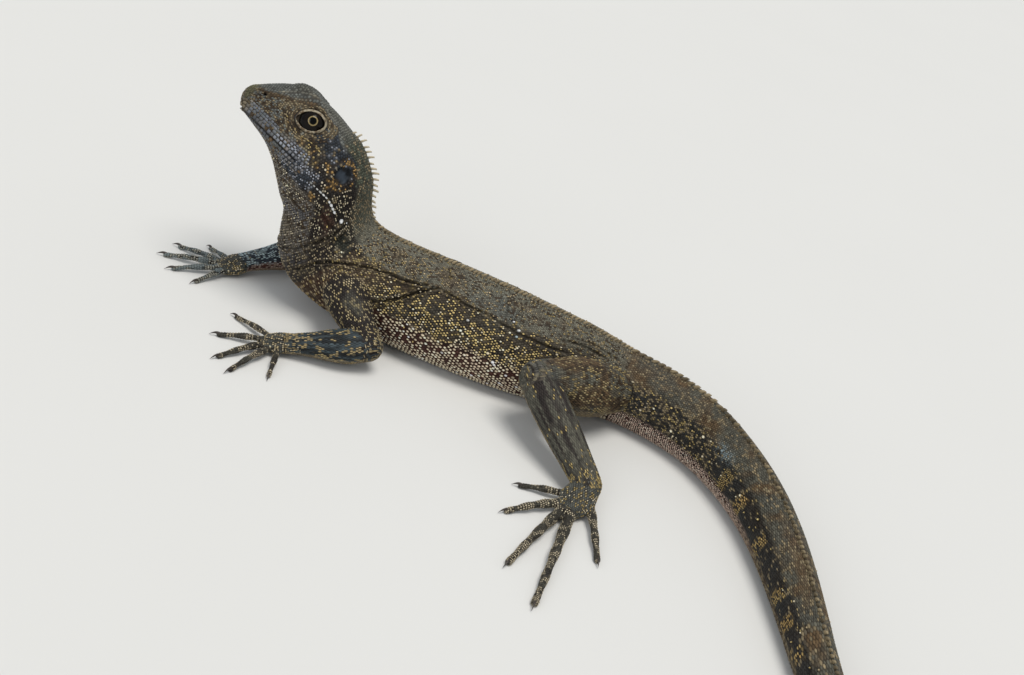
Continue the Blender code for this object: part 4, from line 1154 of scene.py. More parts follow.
def value_noise(points, size, seed):
    """Smooth noise from 0 to 1 with cells of one size in millimetres."""
    table = np.random.default_rng(seed).random((32, 32, 32))
    scaled = np.asarray(points, float) / size + 100.0
    low = np.floor(scaled).astype(int)
    f = scaled - low
    f = f * f * (3 - 2 * f)
    total = np.zeros(len(scaled))
    for corner in product((0, 1), repeat=3):
        x, y, z = np.where(corner, f, 1 - f).T
        i, j, k = ((low + corner) % 32).T
        total += x * y * z * table[i, j, k]
    return total


def blend(first, second, share):
    return first + (second - first) * np.asarray(share, float)[:, None]


def dotted(base, dot, luck, chance):
    """The base colour, with the dot colour on the share of scales that chance gives."""
    return blend(base, dot, (luck < chance).astype(float))


def close_to(points, line, reach):
    """1 on a line of points, falling to 0 beyond its reach."""
    return np.exp(-(distance_to_line(points, line) / reach) ** 2)


def trunk_colours(bed, luck, patch, blotch):
    """Grey-olive back with brown patches, gold-dotted flanks, cream rows low on the side, and painted shade
    in the hollow of the flank.
    """
    at, share = bed.at, bed.share
    back = blend(hue.olive, hue.umber, ramp(0.50, 0.80, patch) * 0.55)
    back = blend(back, hue.slate * 1.3, ramp(0.50, 0.80, blotch) * 0.5)
    back = dotted(back, hue.tan * 1.7, luck[0], 0.12 + 0.12 * (1 - ramp(90, 125, at)))
    back = dotted(back, hue.gold * 0.55, luck[2], 0.06)
    back = dotted(back, hue.umber * 0.35, luck[1], 0.16)
    flank = blend(hue.olive * 0.36, hue.umber * 0.42, patch)
    flank = dotted(flank, hue.gold, luck[0], 0.32 + 0.30 * ramp(0.27, 0.42, share + (blotch - 0.5) * 0.2))
    flank = dotted(flank, hue.cream, luck[1], 0.04 + 0.16 * ramp(0.36, 0.5, share))
    low = dotted(hue.rust * 0.6, blend(hue.cream, hue.blush * 1.7, patch * 0.5), luck[0],
                 0.84 + 0.10 * ramp(0.55, 0.66, share))
    low = dotted(low, hue.chalk, luck[1], 0.03)
    under = blend(hue.tan * 1.2, hue.blush, patch)
    colour = blend(back, flank, ramp(0.235, 0.265, share + (patch - 0.5) * 0.05))
    colour = blend(colour, low, ramp(0.47, 0.53, share + (blotch - 0.5) * 0.10) * ramp(92, 102, at))
    colour = blend(colour, under, ramp(0.76, 0.86, share))
    shoulder = (1 - ramp(90, 104, at)) * ramp(0.25, 0.29, share) * (1 - ramp(0.80, 0.90, share))
    dark = blend(hue.ground * 2.2, hue.umber * 0.7, patch)
    dark = dotted(dark, hue.tan * 1.35, luck[0], 0.46)
    colour = blend(colour, dotted(dark, hue.gold * 0.7, luck[1], 0.10), shoulder)
    # Painted shade: a dark patch in the sunken hollow of the flank.
    painted_hollow_shade = np.exp(-(((at - 106) / 7) ** 2 + ((share - 0.30) / 0.045) ** 2))
    colour = blend(colour, hue.umber * 0.35, np.clip(painted_hollow_shade * 0.85, 0, 1) * (luck[2] < 0.8))
    return colour, blend(hue.ground, hue.rust * 0.4, ramp(0.45, 0.55, share))


def neck_colours(bed, luck, patch, blotch):
    """Greenish nape, black neck with cream dots, a grey-brown throat of pale granules in rows."""
    at, share = bed.at, bed.share
    nape = dotted(hue.moss * 0.5 + hue.olive * 0.3, hue.tan, luck[0], 0.26)
    nape = blend(nape, hue.olive, ramp(64, 74, at) * 0.8)
    dots = dotted(hue.ground * 1.8, hue.cream * 0.66, luck[0], 0.36)
    dots = dotted(dots, hue.tan, luck[1], 0.08)
    throat = throat_colours(bed, luck, patch)
    colour = blend(nape, dots, ramp(0.19, 0.25, share))
    colour = blend(colour, throat, ramp(0.52, 0.60, share + (blotch - 0.5) * 0.06))
    chest = ramp(64, 72, at) * ramp(0.36, 0.42, share)
    colour = blend(colour, dotted(hue.ground * 2.4, hue.tan * 1.4, luck[0], 0.44), chest * 0.9)
    flat = np.column_stack([at, share * 80])
    colour = blend(colour, hue.rust * 0.8, close_to(flat, ((57, 36.5), (61.5, 33)), 3.2) * (luck[1] > 0.15))
    green = hue.moss * 0.32
    patched = np.minimum(1, 1.4 * close_to(flat, ((71.5, 24.8),), 4.2))
    colour = blend(colour, green, patched * (luck[1] > 0.10))
    return colour, hue.ground


def throat_colours(bed, luck, patch):
    """Grey-brown granules, paler and darker in rows across the throat."""
    throat = blend(hue.tan * 0.62, hue.lilac * 0.60, patch)
    throat = dotted(throat, hue.cream * 0.46, luck[0], 0.26)
    throat = dotted(throat, hue.umber * 0.4, luck[1], 0.20)
    rows = 0.5 + 0.5 * np.cos(math.pi * bed.at / pitch("throat"))
    return throat * (0.65 + 1.25 * rows)[:, None]


# Lines and edges of colour on the side of the head, as (h, u).
CROWN_EDGE = ((0, 8.5), (2.9, 10.6), (7.6, 12.8), (11.6, 14.8), (15.8, 16.8), (19.2, 19.2), (23.7, 21.2),
              (28.2, 20.2), (33.7, 18.2), (42.9, 15.4), (47.9, 14.0), (52.7, 7.6), (58.0, 1.0))
YELLOW_LINE = ((17.5, 8.0), (21.2, 7.6), (28.0, 7.3))
YELLOW_PATCH = ((29.0, 7.8), (33.5, 8.2), (35.5, 4.8))
BROW_LINE = ((14.0, 13.6), (18.5, 17.4), (22.5, 19.2), (27.0, 19.4))
RED_LINE = ((3.5, 10.2), (7.6, 11.8), (15.8, 15.8), (19.2, 18.4), (22.0, 20.4))
THROAT_EDGE = ((0, -4.6), (14, -4.4), (21.9, -3.8), (28.9, -4.8), (36.9, -5.8), (41.9, -6.8), (52, -12))
PALE_LIP = ((19.5, 1.5), (26.0, 2.4), (33.0, 3.4))


def head_colours(bed, luck, patch, blotch):
    """Grey crown, tan brow, dark temple flecked with blue, yellow under the eye, pale dashes on the jaw."""
    flat = head_places(bed.place)
    h, u = flat.T
    crown = blend(hue.crown, hue.slate * 1.5, ramp(0.5, 0.9, patch) * 0.4)
    crown = blend(crown, hue.olive, ramp(0.5, 0.8, blotch) * 0.5)
    crown = blend(crown, dotted(hue.moss, hue.tan, luck[0], 0.22), ramp(36, 44, h))
    colour = dotted(hue.umber * 0.4, hue.crown * 1.1, luck[0], 0.50)
    colour = dotted(colour, hue.tan * 0.9, luck[1], 0.28)
    colour = blend(colour, dotted(hue.umber * 0.6, hue.tan, luck[0], 0.70),
                   close_to(flat, BROW_LINE, 1.9))
    temple = dotted(hue.night, hue.lilac * 1.15, luck[0], 0.24)
    temple = dotted(temple, hue.tan, luck[1], 0.08 + 0.22 * (1 - ramp(31, 35, h)))
    temple = blend(temple, dotted(hue.night * 1.6, hue.crown * 1.1, luck[0], 0.5), ramp(13, 17, u))
    colour = blend(colour, temple, ramp(28, 31, h) * ramp(6.5, 8.5, u))
    gold = dotted(hue.ground * 2, hue.gold * 0.8, luck[0], 0.50)
    gold = dotted(gold, hue.orange * 0.7, luck[1], 0.12)
    yellow = np.maximum(close_to(flat, YELLOW_LINE, 0.7), close_to(flat, YELLOW_PATCH, 2.2))
    colour = blend(colour, gold, yellow)
    dots = dotted(hue.ground * 1.8, hue.cream * 0.60, luck[0], 0.30)
    dots = dotted(dots, hue.orange * 0.8, luck[1], 0.20 * (1 - ramp(46, 50, h)))
    colour = blend(colour, dots, ramp(34, 38, h) * (1 - ramp(7, 9, u)))
    jaw = dotted(hue.night * 1.4, hue.lilac * 1.5, luck[0], 0.40)
    colour = blend(colour, jaw, ramp(24, 28, h) * (1 - ramp(40, 44, h)) * (1 - ramp(1.2, 2.6, u)))
    colour = blend(colour, hue.ground * 1.6, close_to(flat, ((40, -6.0), (49, -6.6)), 1.7) * (luck[1] > 0.2))
    below = 1 - ramp(-0.8, 0.6, u - np.interp(h, *zip(*THROAT_EDGE)))
    colour = blend(colour, throat_colours(bed, luck, patch), below)
    colour = blend(colour, hue.umber * 0.7, close_to(flat, RED_LINE, 0.6) * (luck[1] < 0.8))
    colour = blend(colour, crown, ramp(-0.5, 0.5, u - np.interp(h, *zip(*CROWN_EDGE))))
    colour = blend(colour, hue.moss + hue.gold * 0.12, (1 - ramp(0.8, 2.4, h)) * ramp(3, 5, u))
    return colour, hue.ground


# Middles of the golden cross bands of the tail, as lengths along the body.
TAIL_BANDS = (265.8, 279.8, 302.8, 329.8, 342.8, 357.0, 373, 390, 406, 421, 437, 452, 468, 484, 500,
              517, 534, 552)


def tail_colours(bed, luck, patch, blotch):
    """Grey-brown above, near-black sides with golden cross bands, pale rows low on the root."""
    at, share = bed.at, bed.share
    top = blend(hue.olive * 0.60, hue.umber * 0.9, ramp(0.4, 0.75, patch))
    top = blend(top, hue.slate, ramp(0.5, 0.8, blotch) * 0.2)
    top = dotted(top, hue.tan * 0.9, luck[0], 0.20)
    side = blend(hue.umber * 0.16, hue.slate * 0.32, patch)
    root = 1 - ramp(235, 285, at)
    side = dotted(side, hue.tan * 0.75, luck[0], 0.10 + 0.26 * root)
    side = dotted(side, hue.gold * 0.62, luck[1], 0.03 + 0.12 * root)
    side = dotted(side, hue.cream * 0.55, luck[2], 0.05 * root * ramp(0.40, 0.5, share))
    away = np.min(np.abs(at[:, None] + 8 * (share[:, None] - 0.5) - np.array(TAIL_BANDS)), axis=1)
    faded = 1 - 0.6 * ramp(420, 540, at)
    bands = (1 - ramp(1.8, 3.4, away)) * ramp(0.34, 0.40, share) * (1 - ramp(0.64, 0.72, share)) * faded
    band = blend(hue.orange, hue.gold * 0.8, patch)
    side = blend(side, band, bands * (luck[2] < 0.76))
    under = dotted(hue.rust * 0.7, hue.blush * 1.9, luck[0], 0.93)
    under = blend(under, dotted(hue.umber * 0.4, hue.tan * 0.8, luck[0], 0.5), ramp(255, 310, at))
    colour = blend(top, side, ramp(0.24, 0.34, share + (blotch - 0.5) * 0.12))
    colour = blend(colour, under, ramp(0.58, 0.64, share))
    pale = np.exp(-(((at - 258) / 4.5) ** 2 + ((share - 0.29) / 0.06) ** 2))
    colour = blend(colour, hue.ice * 0.5, pale * (luck[2] < 0.75))
    return colour, hue.ground


def limb_colours(bed, luck, patch, blotch):
    """Each limb from its shoulder or hip to its toes."""
    fore = np.array([name.endswith("fore") for name in bed.region])
    looks = bed, luck, patch, blotch
    colour = np.where(fore[:, None], fore_colours(*looks), hind_colours(*looks))
    under = (bed.out[:, 2] < -0.45) & (bed.at < 3)
    return blend(colour, hue.tan, under * 0.6), hue.ground


def streaks(bed, around, along):
    """Noise drawn out along a limb, with so many cells round it and along each of its parts."""
    return value_noise(np.column_stack([bed.share * around, bed.at * along, bed.at * 0]), 1.0, 8)


def fore_colours(bed, luck, patch, blotch):
    """Black upper arm with gold dots, blue-green forearm, pale on the far side, and spotted hand."""
    at = bed.at
    arm = dotted(hue.ground * 2.2, blend(hue.gold * 0.7, hue.cream * 0.55, patch), luck[0], 0.33)
    arm = blend(arm, hue.olive * 0.6, ramp(0.64, 0.76, blotch) * 0.7)
    forearm = blend(hue.teal * 0.3, hue.teal * 1.6, ramp(0.2, 0.8, streaks(bed, 40, 7)))
    flecks = ramp(0.60, 0.66, value_noise(bed.place, 1.8, 5)) * (luck[2] < 0.55) + (luck[1] < 0.05)
    ends = (1 - ramp(1.05, 1.2, at)) + ramp(1.74, 1.9, at)
    flecks = np.minimum(1, flecks + (luck[0] < 0.26 * ends))
    forearm = blend(forearm, blend(hue.gold * 0.6, hue.tan * 1.5, patch), flecks)
    pale = ramp(0.36, 0.5, streaks(bed, 16, 14))
    pale = dotted(hue.night * 1.5, hue.ice * 1.1, luck[0], 0.35 + 0.5 * pale)
    pale = blend(pale, dotted(hue.rust, hue.blush, luck[0], 0.6), ramp(-0.35, 0.05, -bed.out[:, 2]))
    far = np.array([name == "right_fore" for name in bed.region])
    hand = blend(hue.gold * 0.7, hue.cream * 0.6, patch)
    hand = dotted(hue.slate * 0.4 + hue.olive * 0.25, hand, luck[0], 0.34)
    hand = dotted(hand, hue.cream * 0.8, luck[1], 0.12)
    finger = blend(hue.ground * 2, hue.olive * 0.5, patch)
    finger = blend(finger, hue.cream * 0.55, ramp(0.50, 0.58, value_noise(bed.place, 1.5, 8)))
    finger = blend(finger, hue.ice * 0.7, far * 0.4)
    return by_part(at, arm, np.where(far[:, None], pale, forearm), hand, finger)


def by_part(at, upper, lower, foot, digit):
    """The colours of a limb's parts, which at counts from the shoulder or hip."""
    return np.select([(at < part)[:, None] for part in (1, 2, 3)], [upper, lower, foot], digit)


def hind_colours(bed, luck, patch, blotch):
    """Brown thigh, blue-grey knee, streaked olive shank, gold ankle, spotted foot and pale-ringed toes."""
    at = bed.at
    drawn = streaks(bed, 30, 6)
    thigh = blend(hue.umber * 0.85, hue.olive * 0.6, ramp(0.40, 0.70, patch))
    thigh = dotted(thigh, hue.umber * 0.35, luck[1], 0.16 + 0.3 * ramp(0.5, 0.8, drawn))
    thigh = dotted(thigh, blend(hue.tan * 1.1, hue.gold * 0.6, patch), luck[0],
                   0.10 + 0.40 * ramp(0.5, 0.75, streaks(bed, 40, 8)))
    knees = np.array([limb.bend for limb in LIMBS if limb.name.endswith("hind")], float)
    knee = np.exp(-(np.min([np.linalg.norm(bed.place - k, axis=1) for k in knees], axis=0) / 9.0) ** 4)
    thigh = blend(thigh, hue.slate * 1.5, knee * ramp(0.35, 0.55, blotch) * 0.8)
    shank = blend(hue.ground * 2.5, hue.olive * 0.6, ramp(0.2, 0.7, streaks(bed, 40, 5)))
    shank = dotted(shank, hue.gold * 0.7, luck[0], 0.05 + 0.36 * ramp(1.72, 1.9, at))
    foot = dotted(hue.slate * 0.5 + hue.olive * 0.3, hue.gold * 0.6, luck[0], 0.26)
    foot = dotted(foot, hue.cream * 0.7, luck[1], 0.12)
    toe = blend(hue.ground * 2, hue.olive * 0.5, patch)
    toe = blend(toe, hue.cream * 0.6, ramp(0.46, 0.54, value_noise(bed.place, 1.5, 8)))
    return by_part(at, thigh, shank, foot, toe)


def feature_colours(bed, luck, patch, blotch):
    """The feature rows, lips, ears and tubercles; most of these regions are named for their colour."""
    flat = head_places(bed.place)
    lips = blend(hue.lilac * 0.62, hue.slate, ramp(0.5, 0.8, patch) * 0.7)
    lips = blend(lips, hue.tan * 0.55, ramp(0.5, 0.8, blotch) * 0.6)
    lips = dotted(lips, hue.umber * 0.7, luck[0], 0.12)
    lips = blend(lips, hue.lilac * 1.7, close_to(flat, PALE_LIP, 1.2) * (luck[1] < 0.85))
    lips = blend(lips, hue.tan * 0.8, (1 - ramp(2.0, 6.0, flat[:, 0])) * 0.8)
    tone = {name: getattr(hue, name) for name in ("chalk", "cream", "gold", "ice")}
    tone["lips"] = lips
    tone["streak"] = blend(hue.chalk * 0.5, hue.chalk, ramp(48, 53, bed.at))
    tone["cheek"] = dotted(hue.gold * 0.62, hue.umber * 0.4, luck[0], 0.35)
    tone["orbit"] = dotted(hue.tan * 1.15, hue.umber * 0.5, luck[0], 0.30)
    tone["brow"] = blend(hue.crown, hue.tan * 0.8, patch * 0.6)
    tone["ear"] = dotted(hue.ground * 3, hue.orange * 0.75, luck[0],
                         0.15 + 0.65 * ramp(0.35, 0.8, np.abs(np.sin(bed.at))))
    tone["tubercle"] = np.where((bed.share < 0.27)[:, None], hue.tan * 1.3,
                                dotted(hue.gold, hue.cream, luck[0], 0.5))
    colour = np.zeros_like(bed.place)
    for region, value in tone.items():
        colour = np.where((bed.region == region)[:, None], value, colour)
    return colour, hue.ground


def painted_crease_light(bed, body):
    """Painted light of the creases: for each scale, how much painted shade it takes in a crease, and how much
    painted highlight on the raised lip beside one.
    """
    painted_shade_in_crease, high = np.zeros(len(bed.at)), np.zeros(len(bed.at))
    for fold in FOLDS:
        for side in (-1, 1):
            away = distance_to_line(bed.place, body.line(fold.line, side, 1.5))
            painted_shade_in_crease = np.maximum(painted_shade_in_crease, min(1.0, fold.depth) * np.exp(-(away / (0.95 * fold.width)) ** 2))
            # Painted highlight on the raised lip beside the crease.
            high = np.maximum(high, fold.lip * np.exp(-((away - 2.1 * fold.width) / (1.2 * fold.width)) ** 2))
    return painted_shade_in_crease, high


def eye_shade(bed):
    """Painted shade: the dark line close round the lids, in the groove there."""
    dark = np.zeros(len(bed.at))
    for side in (-1, 1):
        centre, axis, *ways = eye_frame(side)
        local = bed.place - centre
        near = (local @ axis > 0) & (np.linalg.norm(local, axis=1) < 14)
        dark = np.maximum(dark, 0.85 * near * (1 - ramp(1.24, 1.34, oval_way(local, *ways, LID_SPAN))))
    return dark


Looks = namedtuple("Looks", "colour ground soft")


def coloured(bed, body, random):
    """Each scale's colour, that of the skin round it, and how softly one runs into the other."""
    n = len(bed.at)
    luck = random.random((n, 3))
    patch = value_noise(bed.place, 7.0, 3) * 0.6 + value_noise(bed.place, 3.0, 4) * 0.4
    blotch = value_noise(bed.place, 11.0, 6) * 0.7 + value_noise(bed.place, 4.0, 7) * 0.3
    colour, ground = np.zeros((n, 3)), np.zeros((n, 3))
    makers = {"trunk": trunk_colours, "neck": neck_colours, "head": head_colours, "tail": tail_colours}
    limb_names = [limb.name for limb in LIMBS]
    for region in np.unique(bed.region):
        rows = np.flatnonzero(bed.region == region)
        maker = makers.get(region, limb_colours if region in limb_names else feature_colours)
        colour[rows], ground[rows] = maker(chosen(bed, rows), luck[rows].T, patch[rows], blotch[rows])
    # Painted shade darkens the scales and the skin round them in the creases, but not the pale tubercles and
    # rows.
    painted_shade_in_crease, high = painted_crease_light(bed, body)
    painted_shade_in_crease *= ~np.isin(bed.region, ("chalk", "cream", "ice", "gold", "streak"))
    # Each scale's random spread of brightness, times the painted shade of the creases and of the dark line
    # round the lids.
    shade = np.clip(1 + 0.24 * random.normal(0, 1, n), 0.45, 1.7) * (1 - 0.85 * painted_shade_in_crease) * (1 - eye_shade(bed))
    # Painted highlight: scales on the raised lip beside a crease are lightened towards tan.
    colour = blend(colour, hue.tan, 0.3 * high)
    colour = np.clip(colour * shade[:, None], 0.002, 1)
    soft = 1 - ramp(0.10, 0.34, colour @ (0.3, 0.5, 0.2))
    return Looks(colour, blend(ground * (1 - 0.8 * painted_shade_in_crease)[:, None], colour, 0.45 * soft), soft)


# Scale shapes

# Ring and peak are the shares of a scale's own colour on its top ring and at its tip. The rest is the dark
# skin colour round it, partly painted shade at the scale's edge, and a peak above 1 lightens the tip past its
# own colour, a painted highlight.
Template = namedtuple("Template", "sides front back narrow peak_along point square ring peak")
TEMPLATES = {
    "keeled": Template(6, 0.16, 0.50, 0.64, 0.24, 1.20, 1.0, 0.50, 1.35),
    "granule": Template(6, 0.50, 0.58, 0.64, 0.04, 1.0, 1.0, 0.70, 1.25),
    "plate": Template(8, 0.76, 0.88, 0.84, 0.05, 1.0, 0.40, 0.88, 1.08),
}
SUNK = -0.40


def scale_template(kind):
    """Points, triangles and tint of one scale: its long way on X, its width on Y and its rise on Z. The tint
    is 0 at the base, 0.5 on the top ring and 1 at the tip, where the colour goes from painted shade at the
    edge to a painted highlight.
    """
    plan = TEMPLATES[kind]
    bm = bmesh.new()
    bmesh.ops.create_circle(bm, cap_ends=True, segments=plan.sides, radius=0.5)
    for v in bm.verts:
        for way in (0, 1):
            v.co[way] = math.copysign(0.5 * abs(2 * v.co[way]) ** plan.square, v.co[way])
    bmesh.ops.translate(bm, vec=(0, 0, SUNK), verts=bm.verts)
    raised = bmesh.ops.extrude_face_region(bm, geom=bm.faces[:])
    top = [v for v in raised["geom"] if isinstance(v, bmesh.types.BMVert)]
    bmesh.ops.scale(bm, vec=(plan.narrow, plan.narrow, 1), verts=top)
    for v in top:
        v.co.z = plan.front + (plan.back - plan.front) * (v.co.x / plan.narrow + 0.5)
    lid = [f for f in bm.faces if all(v in top for v in f.verts)]
    peak = bmesh.ops.poke(bm, faces=lid)["verts"][0]
    peak.co = (plan.peak_along, 0, 1.0)
    for v in bm.verts:
        if v.co.x > 0.25:
            v.co.x *= plan.point
    tint = np.array([1.0 if v is peak else 0.5 if v in top else 0.0 for v in bm.verts])
    return *triangle_arrays(bm), tint


def scale_mesh(name, bed, looks):
    """One joined mesh of a bed's scales, with a patch of the bake map for each scale, and its colours: dark
    skin colour at the base, partly painted shade at the edge, and a painted highlight on the tip.
    """
    vertices, triangles, colours, patches, start = [], [], [], [], 0
    rise = bed.rise * (1 - 0.4 * looks.soft)
    for kind in KINDS:
        rows = np.flatnonzero(bed.kind == kind)
        if len(rows) == 0:
            continue
        points, faces, tint = scale_template(kind)
        part = chosen(bed, rows)
        across = np.cross(part.out, part.lie)
        size = part.size * (0.86 + 0.14 * looks.soft[rows])[:, None]
        grown = (part.place[:, None] + part.lie[:, None] * points[:, 0][None, :, None] * size[:, None, :1]
                 + across[:, None] * points[:, 1][None, :, None] * size[:, None, 1:]
                 + part.out[:, None] * points[:, 2][None, :, None] * rise[rows][:, None, None])
        grown[..., 2] = np.maximum(grown[..., 2], 0.0)
        vertices.append(grown.reshape(-1, 3))
        firsts = start + np.arange(len(rows)) * len(points)
        triangles.append((faces[None] + firsts[:, None, None]).reshape(-1, 3))
        soft = looks.soft[rows][:, None]
        ring, peak = TEMPLATES[kind].ring, TEMPLATES[kind].peak
        # Painted shade and highlight: the share of the scale's colour at base, ring and tip, over the skin's
        # dark colour.
        strength = np.select([tint == 0, tint == 0.5], [0.6 * soft, ring + (0.9 - ring) * soft],
                             peak + (1.1 - peak) * soft)[..., None]
        shown = (looks.ground[rows][:, None] * np.clip(1 - strength, 0, 1)
                 + looks.colour[rows][:, None] * strength)
        colours.append(np.clip(shown, 0, 1).reshape(-1, 3))
        patches.append((0.01 + 0.98 * part.unwrap[:, None] + points[None, :, :2] * 0.003).reshape(-1, 2))
        start += len(rows) * len(points)
    return mesh_from_arrays(name, vertices, triangles, colours, patches)


def mesh_from_arrays(name, vertices, triangles, colours, patches):
    """An object from joined arrays, with its pigment and bake map."""
    vertices, triangles = np.concatenate(vertices), np.concatenate(triangles)
    mesh = bpy.data.meshes.new(name)
    mesh.vertices.add(len(vertices))
    mesh.loops.add(triangles.size)
    mesh.polygons.add(len(triangles))
    mesh.vertices.foreach_set("co", (vertices * MM).astype(np.float32).ravel())
    mesh.loops.foreach_set("vertex_index", triangles.astype(np.int32).ravel())
    mesh.polygons.foreach_set("loop_start", np.arange(0, triangles.size, 3, dtype=np.int32))
    mesh.update(calc_edges=True)
    mesh.validate()
    unwrap = mesh.uv_layers.new(name="OFBake")
    unwrap.data.foreach_set("uv", np.concatenate(patches)[triangles.ravel()].astype(np.float32).ravel())
    store_colour(mesh, np.concatenate(colours))
    mesh.shade_smooth()
    return show(name, mesh)


def store_colour(mesh, colours):
    """Keeps a colour for each point of a mesh in the attribute that the materials read."""
    layer = mesh.color_attributes.new("pigment", "FLOAT_COLOR", "POINT")
    opaque = np.column_stack([colours, np.ones(len(colours))])
    layer.data.foreach_set("color", opaque.astype(np.float32).ravel())


def nearest_rows(places, points):
    """The row of the nearest of the places to each point."""
    tree = KDTree(len(places))
    for row, place in enumerate(places):
        tree.insert(place, row)
    tree.balance()
    return np.array([tree.find(p)[1] for p in points])


def colour_skin(skin, bed, ground):
    """Paints the skin like the ground of the nearest scale, with its painted crease shade, the ears mottled
    blue-black and the nostrils near-black, painted shade in their openings.
    """
    points, _ = points_of(skin)
    shade = ground[nearest_rows(bed.place, points)]
    tree = Surface(skin).metres()
    mottled = np.clip(3.6 * value_noise(points, 1.5, 10) - 1.2, 0.15, 2.2)[:, None]
    for side in (-1, 1):
        # The ear cups take a mottled blue-black; the nostrils are painted near-black, painted shade in their
        # openings.
        for spot, reach, strength in ((EAR_PLACE, 3.6, mottled), (NOSTRIL_PLACE, 1.0, 0.1)):
            away = np.linalg.norm(points - on_head(tree, side, spot)[0], axis=1)
            shade = blend(shade, hue.night * strength, np.exp(-(away / reach) ** 4))
    store_colour(skin.data, shade)


# Materials

def node_group(name, inputs, outputs):
    """A shader node group with its sockets, as (kind, name, default)."""
    group = bpy.data.node_groups.new(name, "ShaderNodeTree")
    for socket_kind, socket_name, default in inputs:
        socket = group.interface.new_socket(socket_name, in_out="INPUT", socket_type=socket_kind)
        socket.default_value = default
    for socket_kind, socket_name in outputs:
        group.interface.new_socket(socket_name, in_out="OUTPUT", socket_type=socket_kind)
    return group


def add(tree, kind, inputs=None, **settings):
    """A node of one kind with its settings, and values for its inputs by name or number."""
    node = tree.nodes.new(kind)
    for key, value in settings.items():
        setattr(node, key, value)
    set_inputs(node, inputs or {})
    return node


def set_inputs(node, values):
    for key, value in values.items():
        node.inputs[key].default_value = value


def wire(tree, *links):
    """Links nodes, each link as (node, output, node, input)."""
    for start, outlet, end, inlet in links:
        tree.links.new(start.outputs[outlet], end.inputs[inlet])


def set_stops(node, *stops):
    """Gives a colour ramp its stops, as (place, colour)."""
    elements = node.color_ramp.elements
    while len(elements) < len(stops):
        elements.new(0.5)
    for element, (place, colour) in zip(elements, stops):
        element.position = place
        element.color = (*colour, 1.0)


def new_material(name, inputs):
    """A material, its node tree and its shader, whose inputs take the values."""
    made = bpy.data.materials.new(name)
    made.use_nodes = True
    shader = made.node_tree.nodes["Principled BSDF"]
    set_inputs(shader, inputs)
    return made, made.node_tree, shader


def hide_finish():
    """The group of every hide material: it varies the pigment and raises fine grain."""
    if "hide_finish" in bpy.data.node_groups:
        return bpy.data.node_groups["hide_finish"]
    group = node_group(
        "hide_finish",
        (("NodeSocketColor", "Pigment", (0.1, 0.1, 0.1, 1)), ("NodeSocketFloat", "Grain size", 1400.0),
         ("NodeSocketFloat", "Mottle size", 260.0), ("NodeSocketFloat", "Mottle", 0.25)),
        (("NodeSocketColor", "Colour"), ("NodeSocketFloat", "Roughness"), ("NodeSocketFloat", "Height")))
    inlet, outlet = add(group, "NodeGroupInput"), add(group, "NodeGroupOutput")
    place = add(group, "ShaderNodeTexCoord")
    mottle = add(group, "ShaderNodeTexNoise", {"Detail": 3.0})
    grain = add(group, "ShaderNodeTexNoise", {"Detail": 2.0})
    spread = add(group, "ShaderNodeMapRange", {"To Min": -1.0})
    amount = add(group, "ShaderNodeMath", {2: 1.0}, operation="MULTIPLY_ADD")
    tint = add(group, "ShaderNodeVectorMath", operation="SCALE")
    rough = add(group, "ShaderNodeMapRange", {"To Min": 0.46, "To Max": 0.72})
    wire(group, (place, "Object", mottle, "Vector"), (inlet, "Mottle size", mottle, "Scale"),
         (place, "Object", grain, "Vector"), (inlet, "Grain size", grain, "Scale"),
         (mottle, "Fac", spread, "Value"), (spread, "Result", amount, 0), (inlet, "Mottle", amount, 1),
         (inlet, "Pigment", tint, 0), (amount, 0, tint, "Scale"), (tint, 0, outlet, "Colour"),
         (grain, "Fac", rough, "Value"), (rough, "Result", outlet, "Roughness"),
         (grain, "Fac", outlet, "Height"))
    return group


def hide_material(name, mottle, bump, sheen):
    """Scales or skin: the pigment attribute through the hide finish, with a waxy surface."""
    if name in bpy.data.materials:
        return bpy.data.materials[name]
    made, tree, shader = new_material(name, {"Specular IOR Level": sheen})
    pigment = add(tree, "ShaderNodeAttribute", attribute_name="pigment")
    finish = add(tree, "ShaderNodeGroup", {"Mottle": mottle}, node_tree=hide_finish())
    raised = add(tree, "ShaderNodeBump", {"Strength": bump, "Distance": 0.15 * MM})
    wire(tree, (pigment, "Color", finish, "Pigment"), (finish, "Colour", shader, "Base Color"),
         (finish, "Roughness", shader, "Roughness"), (finish, "Height", raised, "Height"),
         (raised, "Normal", shader, "Normal"))
    return made


def dress(piece, material, slot, *nodes):
    """Gives a piece its material, ties it to the body and hides the imported parts that it stands for."""
    piece.data.materials.clear()
    piece.data.materials.append(material)
    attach(piece, "root")
    if nodes:
        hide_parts(*nodes)


FLESH_NODES = tuple(name for name in sorted(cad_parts) if not name.endswith("_eye"))


class DRAGON_OT_skin(bpy.types.Operator):
    """Builds the one skin that covers the head, neck, trunk, tail and legs"""
    bl_idname = "dragon.skin"
    bl_label = "Build Skin"

    def execute(self, context):
        skin = build_skin()
        if len(skin.data.polygons) < 1000:
            raise RuntimeError("the skin came out empty")
        dress(skin, hide_material("skin_hide", 0.3, 0.35, 0.15), "body_skin", *FLESH_NODES)
        return {"FINISHED"}


# Where the head's and the neck's scales end along the body, and how long the tail's root is.
HEAD_END, NECK_END, ROOT_RUN = 50.5, 80, 90


